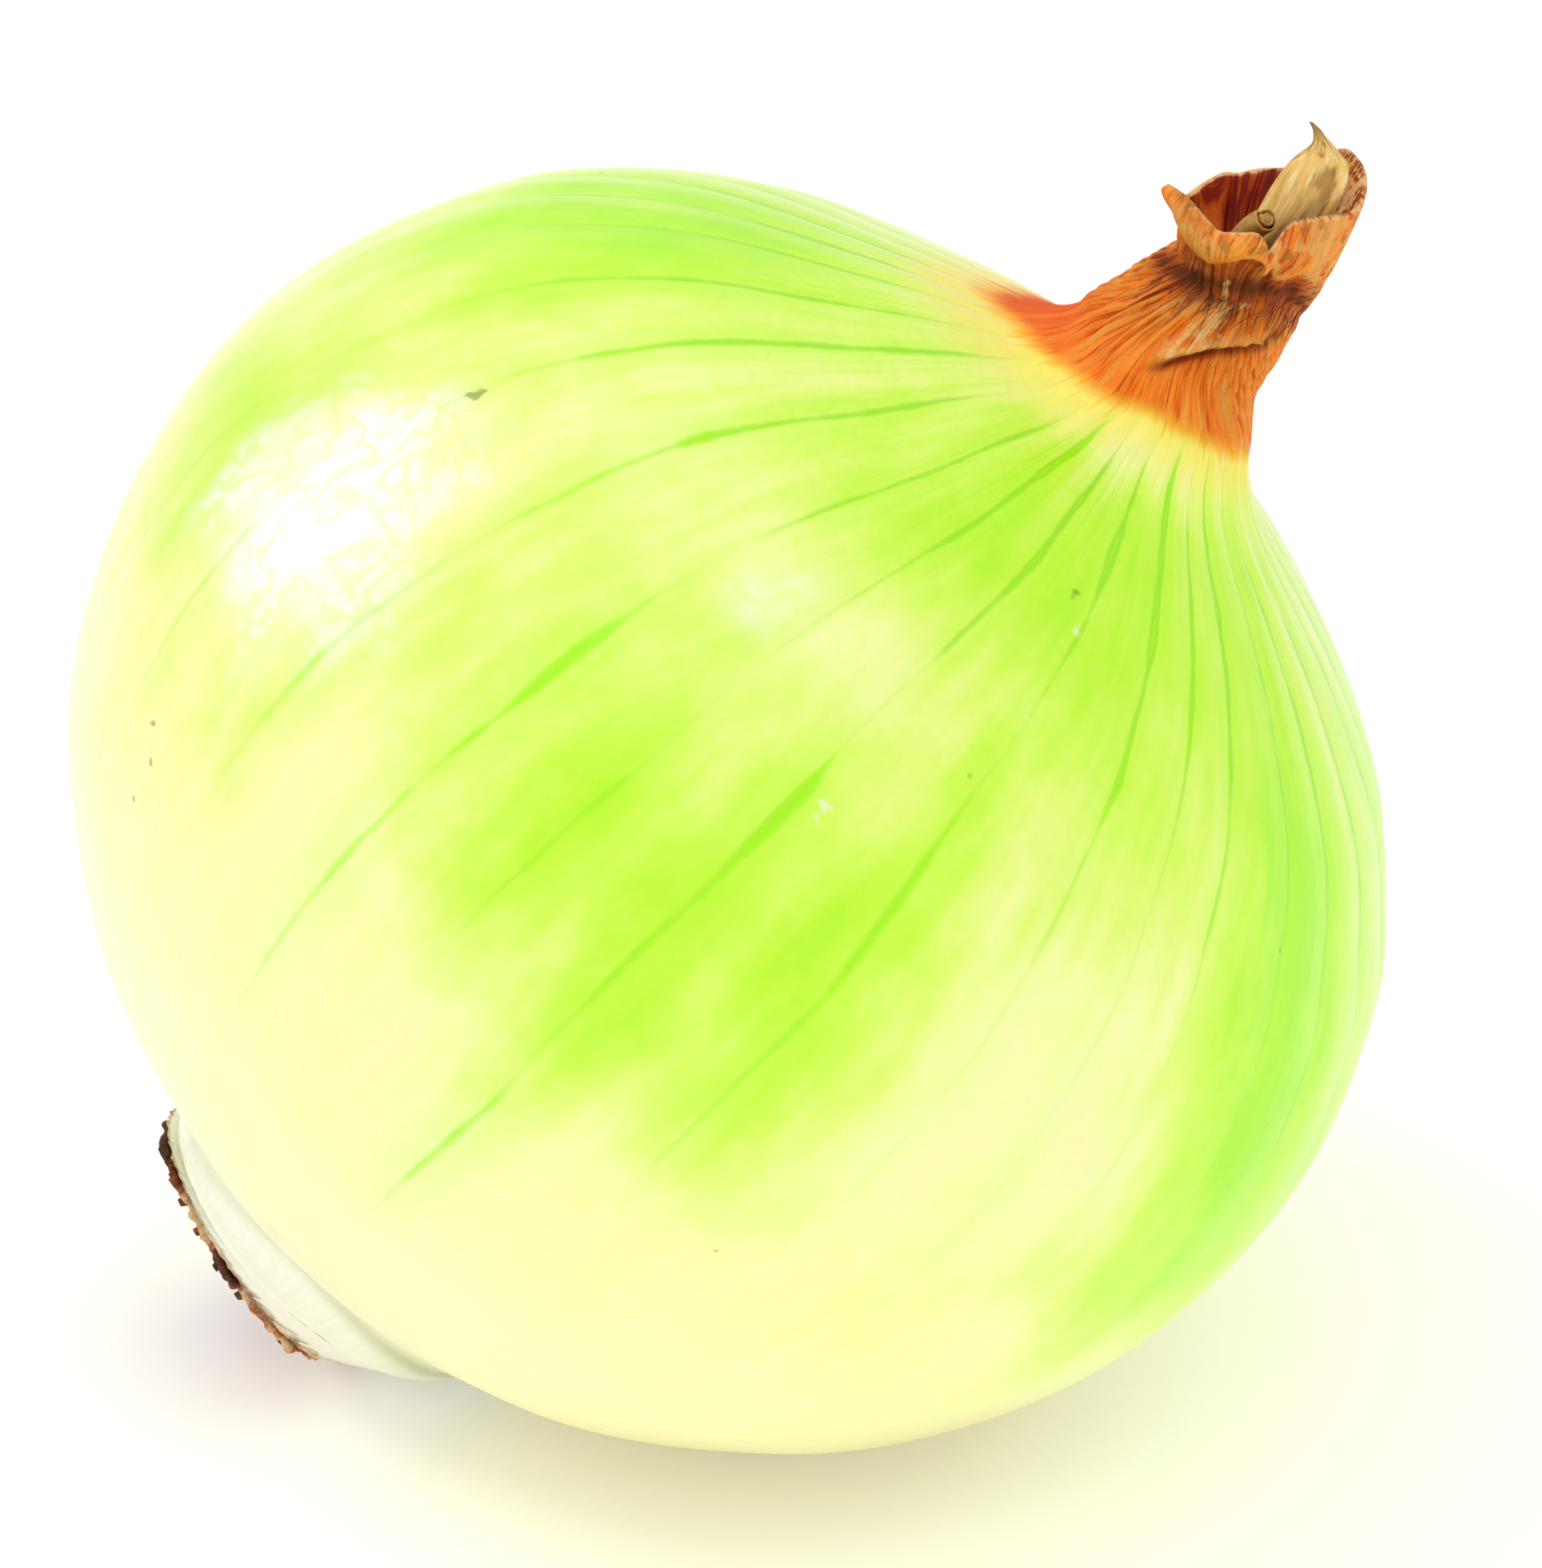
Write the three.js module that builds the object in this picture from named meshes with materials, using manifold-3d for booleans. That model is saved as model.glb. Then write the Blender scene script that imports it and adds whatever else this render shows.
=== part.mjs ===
// A peeled onion lying on its side: a fleshy green-yellow bulb with shallow vein ribs, the dried
// neck it grew through, with its open torn mouth, the blade and the rolled core leaf that stand
// in the mouth, the pale basal plate at the root end and the dried crown of root stubs on it.
//
// Every piece is drawn about the bulb's own axis: +Z runs from the root to the neck, the origin
// is the centre of the widest section, and an azimuth turns from +X toward +Y. The whole onion
// is then leaned over toward +X and set on the small flat it rests on, at z = 0.

import * as THREE from "three";
import { mergeVertices } from "three/addons/utils/BufferGeometryUtils.js";
import Module from "manifold-3d";

const wasm = await Module();
wasm.setup();

// Driving dimensions, in millimetres and degrees.
const LEAN = 40.65; // of the axis, from upright toward +X
const FLAT_DEPTH = 0.3; // how far the resting flat is pressed into the round of the bulb
const GAP = 0.3; // between one piece and the next
const NECK_LINE = 32.1; // height on the axis where the flesh turns into dry neck
const LIP_LINE = -40.3; // height of the outer scale's lower lip, round the basal plate
const LIP_HOLLOW = 5; // how deep the flesh is hollowed inside the lip, where the plate grows in

// The bulb's meridian from lip to neck line: height, radius, and how far the section's centre
// stands off the axis toward +X.
const BULB_MERIDIAN = [
  [LIP_LINE, 11.5, 0.8],
  [-39.1, 12.1, 1.1],
  [-36.7, 14.2, 1],
  [-34, 18.9, 0.4],
  [-30, 25.3, -0.1],
  [-25, 30.6, -0.3],
  [-20, 34.6, -0.3],
  [-10, 38.8, -0.1],
  [0, 40, -0.1],
  [8, 38.6, 0.3],
  [16, 34.9, 0.6],
  [20, 31.5, 0.8],
  [24, 26.8, 1.3],
  [28, 19.4, 1.8],
  [30.2, 14.6, 1.7],
  [NECK_LINE, 10, 1.6],
];

// Veins round the bulb, by azimuth. They stand 8 to 13 degrees apart, never quite evenly.
const VEINS = [
  -170, -157, -142, -128, -117, -106, -93, -79, -69, -60, -47, -37, -26, -14, -3, 9,
  20, 32, 43, 55, 66, 78, 90, 101, 113, 124, 136, 147, 157, 167, 177,
];
const VEIN_PINCH = 0.25; // how deep the skin draws in along a vein, near the neck
const VEIN_PINCH_START = -10; // height from which it draws in
const COLUMNS_PER_VEIN = 3;
const ROWS_PER_STATION = 2;

// The neck above the neck line: height, radius, centre's offset toward +X.
const NECK_SECTIONS = [
  [33.3, 8.2, 1.4],
  [34.7, 6.9, 1.2],
  [36.3, 6.2, 0.7],
  [38.2, 5.2, 0.2],
  [40, 4.8, 0.2],
];
const WAIST = [41.9, 4.3, 0.3]; // the drawn-in section below the open mouth
const PLEAT_DEPTH = 0.28;
const WALL = 0.75; // thickness of the dry wall round the mouth
const CUP_FLOOR = 41.2; // height of the bottom of the mouth
const CUP_ROUNDING = 0.2; // how far the floor's edge stands above its middle

// The mouth's torn rim, anticlockwise from the tip of its left petal: along X, along Y, height.
const MOUTH_RIM = [
  [-6.45, 1.8, 44],
  [-6.1, 0.55, 44.5],
  [-5.9, -1.15, 44.95],
  [-4.8, -3.4, 45.3],
  [-4.25, -4.05, 45.45],
  [-3.6, -4.7, 46.2],
  [-2.72, -4.83, 46.94],
  [-2.2, -4.95, 46.95],
  [-1.7, -4.95, 46.75],
  [-1.4, -4.8, 46.35],
  [-1.15, -3.4, 48.05],
  [-0.65, -2.85, 48.5],
  [0.35, -2.15, 49.2],
  [2.2, -0.45, 50.35],
  [2.25, 1.1, 51.2],
  [1.8, 2.55, 51.7],
  [1.3, 3.4, 51.75],
  [0.6, 4.25, 51.5],
  [-0.05, 5.5, 49.1],
  [-0.7, 5.95, 47.85],
  [-1.7, 6.3, 46.7],
  [-2.4, 6.25, 45.75],
  [-3.1, 6, 45.4],
  [-3.95, 5, 44.35],
  [-5, 2.9, 43.6],
];
const MOUTH_CENTRE = [-2.1, 0.7];
const RIM_STEPS = 12; // between one point of the rim and the next

// The mouth's wall, from the waist to the rim. Below its fold the wall is drawn in, and above it
// the wall swells out: far over the neck where the left and front petal folds over, a little
// elsewhere. Each row gives its share of the way up to the fold, or from the fold to the rim, and
// how far it stands out where the petal folds and elsewhere.
const BELOW_FOLD = [
  [0.4, -0.15, 0.02],
  [0.82, -0.38, -0.12],
  [1, -0.3, -0.06],
];
const ABOVE_FOLD = [
  [0.12, 0.5, 0.2],
  [0.32, 0.75, 0.24],
  [0.65, 0.5, 0.16],
  [1, 0, 0],
];
const FOLD_FROM = -200; // azimuths between which the petal folds over
const FOLD_TO = -76;
const FOLD_FADE_IN = 12; // degrees over which the petal starts, and those over which it ends
const FOLD_FADE_OUT = 6;
// The fold's height by azimuth.
const FOLD_LINE = [
  [-199, 43],
  [-179, 43.2],
  [-154, 43],
  [-132, 43.4],
  [-122, 44.3],
  [-113, 45.6],
  [-103, 46],
  [-97, 45.2],
  [-90, 45],
  [-70, 45.5],
  [-53, 45.4],
  [-34, 44.2],
  [71, 43],
  [161, 43],
];
const FOLD_SHARE_MIN = 0.2; // of the way from the waist to the rim
const FOLD_SHARE_MAX = 0.85;
const FOLD_TRIES = 12; // how often the fold's place in a column is halved in on

// The pale blade inside the mouth, root to tip: its left edge, then its right edge.
const BLADE_EDGES = [
  [[-0.35, -0.6, 42.5], [1.7, 0.4, 42.7]],
  [[-1.5, 0.1, 44.3], [1.95, 0.35, 46.2]],
  [[-1.9, 0.65, 46.6], [1.3, 0.45, 49.75]],
  [[-2.15, 1.05, 48.1], [0.95, 1.1, 51]],
  [[-2.15, 1.7, 49.55], [0.45, 1.7, 51.6]],
  [[-1.95, 2.1, 50.2], [-0.15, 2, 51.7]],
  [[-1.75, 2.3, 51], [-0.85, 2.3, 51.8]],
  [[-1.85, 2.5, 51.3], [-1.3, 2.5, 51.8]],
  [[-2.15, 2.6, 51.6], [-1.8, 2.6, 51.9]],
  [[-2.6, 2.8, 51.8], [-2.4, 2.75, 51.9]],
];
const BLADE_BELLY = 0.9; // how far the blade arches toward the open side of the mouth
const BLADE_ARCH_SHARE = 0.35; // the most it arches, as a share of its width
const BLADE_THICKNESS = 0.65;
const BLADE_COLUMNS = 9;
const OPEN_SIDE = new THREE.Vector3(-0.31, -0.88, 0.36); // the way the blade and core leaf face

// The rolled core leaf: its route from the mouth's floor to its cut end.
const CORE_ROUTE = [
  [-1.6, -1.1, 42.6],
  [-1.95, -1.45, 44.4],
  [-2.1, -1.8, 46.3],
  [-2.15, -2.5, 47.35],
];
const CORE_RADIUS = 0.85;
const CORE_STEP = 0.28; // the ledge where the outer turn of the roll ends
const CORE_SIDES = 18;
const CORE_ROWS = 10;

// The basal plate: a cone that leaves the lip and ends in a tilted rim.
const PLATE_TOP_RADIUS = 11.1;
const RIM_RADIUS = 8.75;
const RIM_CENTRE = [-2.65, 0.1, -43.2];
const RIM_TILT = 15.5; // the rim's plane, turned about Y and then rolled about X
const RIM_ROLL = 5;
const FACE_DEPTH = 1.1; // of the hollow in the plate's face
// The plate's rim, from the hollow outward: how far inside the rim's radius, and height.
const RIM_PROFILE = [
  [1.7, 0.6],
  [0.6, 0],
  [0, 0.05],
];
const FLANK_SHARES = [0.35, 0.7]; // of the way from the rim to the lip
const FLANK_SWELL = 1.012; // how much the flank's rings are widened
const PLATE_COLUMNS = 48;

// The dried crown of roots in the plate's face.
const CROWN_RADIUS = 8.6;
const CROWN_DEPTH = 0.7; // how far its torn edge stands out of the rim
const CROWN_RAG = 0.3; // how far the torn edge runs in and out
const CROWN_TOP = 0.5; // height of its middle, in the plate's hollow
const CROWN_FACE = -0.3; // height of the middle of its outer face
// Its rings from the face to the top: how far inside its radius, height, and share of the rag.
const CROWN_PROFILE = [
  [2.2, 0.4 - CROWN_DEPTH, 0],
  [0.7, -0.1 - CROWN_DEPTH, 0],
  [0, -CROWN_DEPTH, 1],
  [0, -GAP, 1],
  [0.7, -GAP, 0],
  [1.9, 0.25, 0],
];
// Rings of roots: distance from the middle, and how many.
const ROOT_RINGS = [
  [1.2, 4],
  [3.1, 9],
  [4.9, 14],
  [6.8, 19],
];
const ROOT_RADIUS = 0.5;
const ROOT_TAPER = 0.6; // a root's tip over its foot
const ROOT_LENGTH = 1.1;
const ROOT_LENGTHS = [0.6, 1.2]; // the shortest and longest root, as shares of that
const ROOT_SUNK = 0.5;
const ROOT_FOOT = -0.1; // height of a root's foot, in the disc
const ROOT_SPLAY = 1.5; // degrees a root leans out for each millimetre from the middle
const ROOT_SPLAY_DRAW = 8; // degrees between the least and the most upright root of a ring
const ROOT_SHIFT = 0.4; // the most a root is shifted round its ring, as a share of a step
const ROOT_SIDES = 5;

const radians = THREE.MathUtils.degToRad;
const vector = ([x, y, z]) => new THREE.Vector3(x, y, z);

function skin(colour, roughness) {
  return new THREE.MeshStandardMaterial({ color: colour, roughness, metalness: 0 });
}

const FLESH = skin(0xcdf45c, 0.38);
const DRY_SKIN = skin(0xe07f2c, 0.55);
const PALE_LEAF = skin(0xe2b96a, 0.6);
const CORE_LEAF = skin(0xb98436, 0.6);
const CREAM = skin(0xf4f0cc, 0.5);
const ROOT_BROWN = skin(0x7a4c22, 0.8);

// A repeatable number from 0 to 1 for each whole number.
function chance(i) {
  const wave = Math.sin(i * 12.9898 + 4.137) * 43758.5453;
  return wave - Math.floor(wave);
}

// The columns that every section of bulb and neck is drawn on: some to each vein.
const COLUMNS = VEINS.flatMap((vein, i) => {
  const next = VEINS[i + 1] ?? VEINS[0] + 360;
  return Array.from({ length: COLUMNS_PER_VEIN }, (_, j) => {
    const share = j / COLUMNS_PER_VEIN;
    // between is 0 on a vein and 1 midway to the next
    return { azimuth: radians(vein + share * (next - vein)), between: Math.sin(Math.PI * share) };
  });
});

// A closed surface through rings of equal count, from a point at its foot to a point at its top.
function closedSurface(foot, rings, top) {
  const count = rings[0].length;
  const points = [foot, ...rings.flat(), top];
  const last = points.length - 1;
  const at = (row, column) => 1 + row * count + (column % count);
  const faces = [];
  for (let j = 0; j < count; j++) {
    faces.push(0, at(0, j + 1), at(0, j));
    for (let i = 0; i < rings.length - 1; i++) {
      faces.push(at(i, j), at(i, j + 1), at(i + 1, j + 1));
      faces.push(at(i, j), at(i + 1, j + 1), at(i + 1, j));
    }
    faces.push(last, at(rings.length - 1, j), at(rings.length - 1, j + 1));
  }
  const geometry = new THREE.BufferGeometry().setFromPoints(points);
  geometry.setIndex(faces);
  return geometry;
}

// A sheet with a front and a back, both grids of points, split into triangles alike.
function thickSheet(front, back) {
  const rows = front.length;
  const columns = front[0].length;
  const points = [...front.flat(), ...back.flat()];
  const before = (i, j) => i * columns + j;
  const behind = (i, j) => rows * columns + i * columns + j;
  const faces = [];
  const quad = (a, b, c, d) => faces.push(a, b, c, a, c, d);
  for (let i = 0; i < rows - 1; i++) {
    for (let j = 0; j < columns - 1; j++) {
      quad(before(i, j), before(i, j + 1), before(i + 1, j + 1), before(i + 1, j));
      faces.push(behind(i, j), behind(i + 1, j + 1), behind(i, j + 1));
      faces.push(behind(i, j), behind(i + 1, j), behind(i + 1, j + 1));
    }
    const right = columns - 1;
    quad(before(i, right), behind(i, right), behind(i + 1, right), before(i + 1, right));
    quad(before(i + 1, 0), behind(i + 1, 0), behind(i, 0), before(i, 0));
  }
  for (let j = 0; j < columns - 1; j++) {
    const tip = rows - 1;
    quad(before(0, j + 1), before(0, j), behind(0, j), behind(0, j + 1));
    quad(before(tip, j), before(tip, j + 1), behind(tip, j + 1), behind(tip, j));
  }
  const geometry = new THREE.BufferGeometry().setFromPoints(points);
  geometry.setIndex(faces);
  return geometry;
}

// A geometry as a solid for joins and cuts, and a solid as a geometry.
function toSolid(geometry) {
  const bare = geometry.clone();
  bare.deleteAttribute("normal");
  bare.deleteAttribute("uv");
  const merged = mergeVertices(bare, 1e-4);
  const vertProperties = merged.attributes.position.array;
  const triVerts = new Uint32Array(merged.index.array);
  return new wasm.Manifold(new wasm.Mesh({ numProp: 3, vertProperties, triVerts }));
}

function toGeometry(solid) {
  const { vertProperties, triVerts } = solid.getMesh();
  const geometry = new THREE.BufferGeometry();
  geometry.setAttribute("position", new THREE.BufferAttribute(vertProperties, 3));
  geometry.setIndex(new THREE.BufferAttribute(triVerts, 1));
  return geometry;
}

function piece(name, geometry, material) {
  geometry.computeVertexNormals();
  const mesh = new THREE.Mesh(geometry, material);
  mesh.name = name;
  return mesh;
}

// One ring of a section given by height, radius and offset, drawn in by a depth along the veins.
function veinedRing([height, radius, offset], depth) {
  return COLUMNS.map(({ azimuth, between }) => {
    const reach = radius - depth * (1 - between);
    return new THREE.Vector3(
      offset + reach * Math.cos(azimuth), reach * Math.sin(azimuth), height);
  });
}

// The bulb's flesh, before the flat is pressed into it.
function roundBulb() {
  const stations = BULB_MERIDIAN.map(([height, radius, offset]) => [radius, offset, height]);
  const meridian = new THREE.CatmullRomCurve3(stations.map(vector), false, "centripetal");
  const rows = ROWS_PER_STATION * (stations.length - 1);
  const rings = meridian.getPoints(rows).map(({ x, y, z }) => {
    const nearNeck = THREE.MathUtils.smoothstep(z, VEIN_PINCH_START, NECK_LINE);
    return veinedRing([z, x, y], VEIN_PINCH * nearNeck);
  });
  const foot = new THREE.Vector3(BULB_MERIDIAN[0][2], 0, LIP_LINE + LIP_HOLLOW);
  const top = new THREE.Vector3(BULB_MERIDIAN.at(-1)[2], 0, NECK_LINE);
  return closedSurface(foot, rings, top);
}

// How far the lowest point of the leaned bulb lies below its origin.
function lowestReach(geometry) {
  const leaned = geometry.clone().rotateY(radians(LEAN));
  leaned.computeBoundingBox();
  return -leaned.boundingBox.min.z;
}

function bulb() {
  const round = roundBulb();
  const block = 2 * Math.max(...BULB_MERIDIAN.map(([, radius]) => radius));
  const floor = new THREE.BoxGeometry(block, block, block);
  floor.translate(0, 0, -block / 2 - (lowestReach(round) - FLAT_DEPTH));
  floor.rotateY(-radians(LEAN));
  return piece("bulb", toGeometry(toSolid(round).subtract(toSolid(floor))), FLESH);
}

// The rim's point at each azimuth seen from the middle of the mouth, as a function.
function rimFinder() {
  const [cx, cy] = MOUTH_CENTRE;
  const curve = new THREE.CatmullRomCurve3(MOUTH_RIM.map(vector), true, "centripetal");
  const stops = curve.getPoints(MOUTH_RIM.length * RIM_STEPS).map((point) => {
    return { point, azimuth: Math.atan2(point.y - cy, point.x - cx) };
  });
  return (azimuth) => {
    const away = ({ azimuth: other }) => Math.cos(other - azimuth);
    return stops.reduce((best, stop) => (away(stop) > away(best) ? stop : best)).point;
  };
}

// 1 where the petal folds over the neck, 0 well away from it.
function folded(azimuth) {
  const turned = THREE.MathUtils.radToDeg(azimuth) - FOLD_TO;
  const degrees = THREE.MathUtils.euclideanModulo(turned, 360) - 360;
  const { smoothstep } = THREE.MathUtils;
  const start = FOLD_FROM - FOLD_TO;
  return smoothstep(degrees, start - FOLD_FADE_IN, start) *
    (1 - smoothstep(degrees, -FOLD_FADE_OUT, 0));
}

// The fold's height at an azimuth, read off its line.
function foldHeight(azimuth) {
  const [first] = FOLD_LINE[0];
  const degrees = THREE.MathUtils.radToDeg(azimuth) - first;
  const at = THREE.MathUtils.euclideanModulo(degrees, 360) + first;
  const next = FOLD_LINE.findIndex(([stop]) => stop >= at);
  const [before, low] = FOLD_LINE[Math.max(next - 1, 0)];
  const [after, high] = FOLD_LINE[Math.max(next, 1)];
  return low + (high - low) * ((at - before) / (after - before));
}

// How far up a column of the wall the fold lies: 0 at the waist, 1 at the rim.
function foldShare(waist, lip) {
  let share = 0.5 * (FOLD_SHARE_MIN + FOLD_SHARE_MAX);
  for (let step = 0; step < FOLD_TRIES; step++) {
    const place = waist.clone().lerp(lip, share);
    const rise = foldHeight(Math.atan2(place.y, place.x)) - waist.z;
    const wanted = rise / (lip.z - waist.z);
    share = (share + THREE.MathUtils.clamp(wanted, FOLD_SHARE_MIN, FOLD_SHARE_MAX)) / 2;
  }
  return share;
}

// The neck for one column, from the neck line up to the waist.
function neckColumn({ azimuth, between }) {
  const [, startRadius, startOffset] = BULB_MERIDIAN.at(-1);
  const direction = new THREE.Vector3(Math.cos(azimuth), Math.sin(azimuth), 0);
  const onSection = ([height, radius, offset], depth) => {
    const reach = radius - depth * (1 - between);
    return new THREE.Vector3(offset, 0, height).addScaledVector(direction, reach);
  };
  const foot = onSection([NECK_LINE + GAP, startRadius - GAP, startOffset], VEIN_PINCH);
  return [foot, ...[...NECK_SECTIONS, WAIST].map((section) => onSection(section, PLEAT_DEPTH))];
}

// The mouth's wall for one column, above the waist: its outer face and its inner one.
function wallColumn({ azimuth }, waist, lip) {
  const direction = new THREE.Vector3(Math.cos(azimuth), Math.sin(azimuth), 0);
  const atFold = foldShare(waist, lip);
  const fold = folded(azimuth);
  const row = (share, [, overFold, elsewhere]) => {
    const swell = THREE.MathUtils.lerp(elsewhere, overFold, fold);
    const place = waist.clone().lerp(lip, share);
    return {
      outer: place.clone().addScaledVector(direction, swell),
      inner: place.addScaledVector(direction, Math.min(0, swell)),
    };
  };
  return [
    ...BELOW_FOLD.map((station) => row(atFold * station[0], station)),
    ...ABOVE_FOLD.map((station) => row(atFold + (1 - atFold) * station[0], station)),
  ];
}

// A ring drawn in toward its own middle by the wall's thickness.
function drawnIn(ring) {
  const middle = ring.reduce((sum, point) => sum.add(point), new THREE.Vector3());
  middle.divideScalar(ring.length);
  return ring.map((point) => {
    const inward = middle.clone().sub(point).setZ(0).normalize();
    return point.clone().addScaledVector(inward, WALL);
  });
}

function neckSheath() {
  const rim = rimFinder();
  const necks = COLUMNS.map(neckColumn);
  const walls = COLUMNS.map((column, j) =>
    wallColumn(column, necks[j].at(-1), rim(column.azimuth)));
  const neckRings = necks[0].map((_, i) => necks.map((column) => column[i]));
  const outerRings = walls[0].map((_, i) => walls.map((column) => column[i].outer));
  const innerRings = walls[0].map((_, i) => walls.map((column) => column[i].inner));
  const cup = [neckRings.at(-1), ...innerRings].map(drawnIn).reverse();
  const [, waistRadius, waistOffset] = WAIST;
  const floorSection = [CUP_FLOOR + CUP_ROUNDING, waistRadius - 2 * WALL, waistOffset];
  const rings = [...neckRings, ...outerRings, ...cup, veinedRing(floorSection, 0)];
  const foot = new THREE.Vector3(BULB_MERIDIAN.at(-1)[2], 0, NECK_LINE + GAP);
  const floor = new THREE.Vector3(waistOffset, 0, CUP_FLOOR);
  return piece("neck_sheath", closedSurface(foot, rings, floor), DRY_SKIN);
}

function innerLeaf() {
  const front = BLADE_EDGES.map((edges) => {
    const [left, right] = edges.map(vector);
    const width = left.distanceTo(right);
    const belly = Math.min(BLADE_BELLY, BLADE_ARCH_SHARE * width);
    return Array.from({ length: BLADE_COLUMNS }, (_, j) => {
      const share = j / (BLADE_COLUMNS - 1);
      const arch = 4 * share * (1 - share) * belly;
      return left.clone().lerp(right, share).addScaledVector(OPEN_SIDE, arch);
    });
  });
  const back = front.map((row) => row.map((point) =>
    point.clone().addScaledVector(OPEN_SIDE, -BLADE_THICKNESS)));
  return piece("inner_leaf", thickSheet(front, back), PALE_LEAF);
}

// The roll's section: one turn of a spiral whose end leaves a small ledge.
function coreLeaf() {
  const section = new THREE.Shape();
  for (let i = 0; i <= CORE_SIDES; i++) {
    const turn = (2 * Math.PI * i) / CORE_SIDES;
    const reach = CORE_RADIUS - (CORE_STEP * i) / CORE_SIDES;
    const x = reach * Math.cos(turn);
    const y = reach * Math.sin(turn);
    if (i === 0) {
      section.moveTo(x, y);
    } else {
      section.lineTo(x, y);
    }
  }
  section.closePath();
  const route = new THREE.CatmullRomCurve3(CORE_ROUTE.map(vector), false, "centripetal");
  const sweep = { steps: CORE_ROWS, extrudePath: route };
  const geometry = new THREE.ExtrudeGeometry(section, sweep);
  return piece("core_leaf", toGeometry(toSolid(geometry)), CORE_LEAF);
}

// A ring about the axis of the rim: its distance out and its height above the rim's plane.
function rimRing(radius, height, count, rag = 0) {
  return Array.from({ length: count }, (_, j) => {
    const azimuth = (2 * Math.PI * j) / count;
    const reach = radius + rag * (2 * chance(j) - 1);
    return new THREE.Vector3(reach * Math.cos(azimuth), reach * Math.sin(azimuth), height);
  });
}

// Moves points drawn about the rim's own axis, +Z toward the bulb, to their place at the root.
const TO_RIM = new THREE.Matrix4()
  .makeRotationX(-radians(RIM_ROLL))
  .multiply(new THREE.Matrix4().makeRotationY(radians(RIM_TILT)))
  .setPosition(vector(RIM_CENTRE));

function basalPlate() {
  const face = RIM_PROFILE.map(([inside, height]) =>
    rimRing(RIM_RADIUS - inside, height, PLATE_COLUMNS).map((point) => point.applyMatrix4(TO_RIM)));
  const rim = face.at(-1);
  const [, , lipOffset] = BULB_MERIDIAN[0];
  const lip = rimRing(PLATE_TOP_RADIUS, LIP_LINE - GAP, PLATE_COLUMNS).map((point) =>
    point.setX(point.x + lipOffset));
  const widen = new THREE.Vector3(FLANK_SWELL, FLANK_SWELL, 1);
  const flank = FLANK_SHARES.map((share) =>
    rim.map((point, j) => point.clone().lerp(lip[j], share).multiply(widen)));
  const foot = new THREE.Vector3(0, 0, FACE_DEPTH).applyMatrix4(TO_RIM);
  const top = new THREE.Vector3(lipOffset, 0, LIP_LINE + LIP_HOLLOW - 2 * GAP);
  return piece("basal_plate", closedSurface(foot, [...face, ...flank, lip], top), CREAM);
}

// One root: a short tapered stub, sunk into the disc, at its place in its ring.
function rootStub(distance, turn, draw) {
  const [shortest, longest] = ROOT_LENGTHS;
  const length = ROOT_LENGTH * THREE.MathUtils.lerp(shortest, longest, draw) + ROOT_SUNK;
  const stub = new THREE.CylinderGeometry(
    ROOT_RADIUS, ROOT_TAPER * ROOT_RADIUS, length, ROOT_SIDES, 1);
  stub.rotateX(Math.PI / 2);
  stub.translate(0, 0, ROOT_FOOT - length / 2);
  stub.rotateY(radians(ROOT_SPLAY * distance + ROOT_SPLAY_DRAW * (draw - 0.5)));
  stub.translate(distance, 0, 0);
  stub.rotateZ(turn);
  return toSolid(stub);
}

// The roots stand on a thin ragged disc.
function rootCrown() {
  const rings = CROWN_PROFILE.map(([inside, height, rag]) =>
    rimRing(CROWN_RADIUS - inside, height, PLATE_COLUMNS, rag * CROWN_RAG));
  const face = new THREE.Vector3(0, 0, CROWN_FACE);
  const top = new THREE.Vector3(0, 0, CROWN_TOP);
  let crown = toSolid(closedSurface(face, rings, top));
  ROOT_RINGS.forEach(([distance, amount], ring) => {
    for (let i = 0; i < amount; i++) {
      const draw = chance(40 * ring + i);
      const turn = (2 * Math.PI * (i + ROOT_SHIFT * draw)) / amount;
      crown = crown.add(rootStub(distance, turn, draw));
    }
  });
  return piece("root_crown", toGeometry(crown).applyMatrix4(TO_RIM), ROOT_BROWN);
}

const onion = new THREE.Group();
onion.add(bulb(), neckSheath(), innerLeaf(), coreLeaf(), basalPlate(), rootCrown());
onion.rotation.y = radians(LEAN);

// The origin is on the floor, under the middle of the whole onion.
const extent = new THREE.Box3().setFromObject(onion, true);
const middle = extent.getCenter(new THREE.Vector3());
onion.position.set(-middle.x, -middle.y, -extent.min.z);

const part = new THREE.Group();
part.add(onion);

export default part;
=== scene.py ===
"""Finished looks for a whole peeled onion that lies on its small flat.

The onion is drawn about its own axis, in millimetres: +Z runs from the root to the neck, the origin is
the centre of the widest section, and an azimuth turns from +X toward +Y. Every mesh is then leaned over
and moved onto the floor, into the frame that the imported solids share. FRONT is the azimuth of the side
that shows best, and a "bearing" is an azimuth counted from there, in degrees.
"""

import logging
import math
from dataclasses import dataclass, field
from enum import Enum
from functools import reduce
from typing import Any, Iterable, Optional, Sequence, Union

import bpy
import numpy as np
from mathutils import Matrix, Vector


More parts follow.
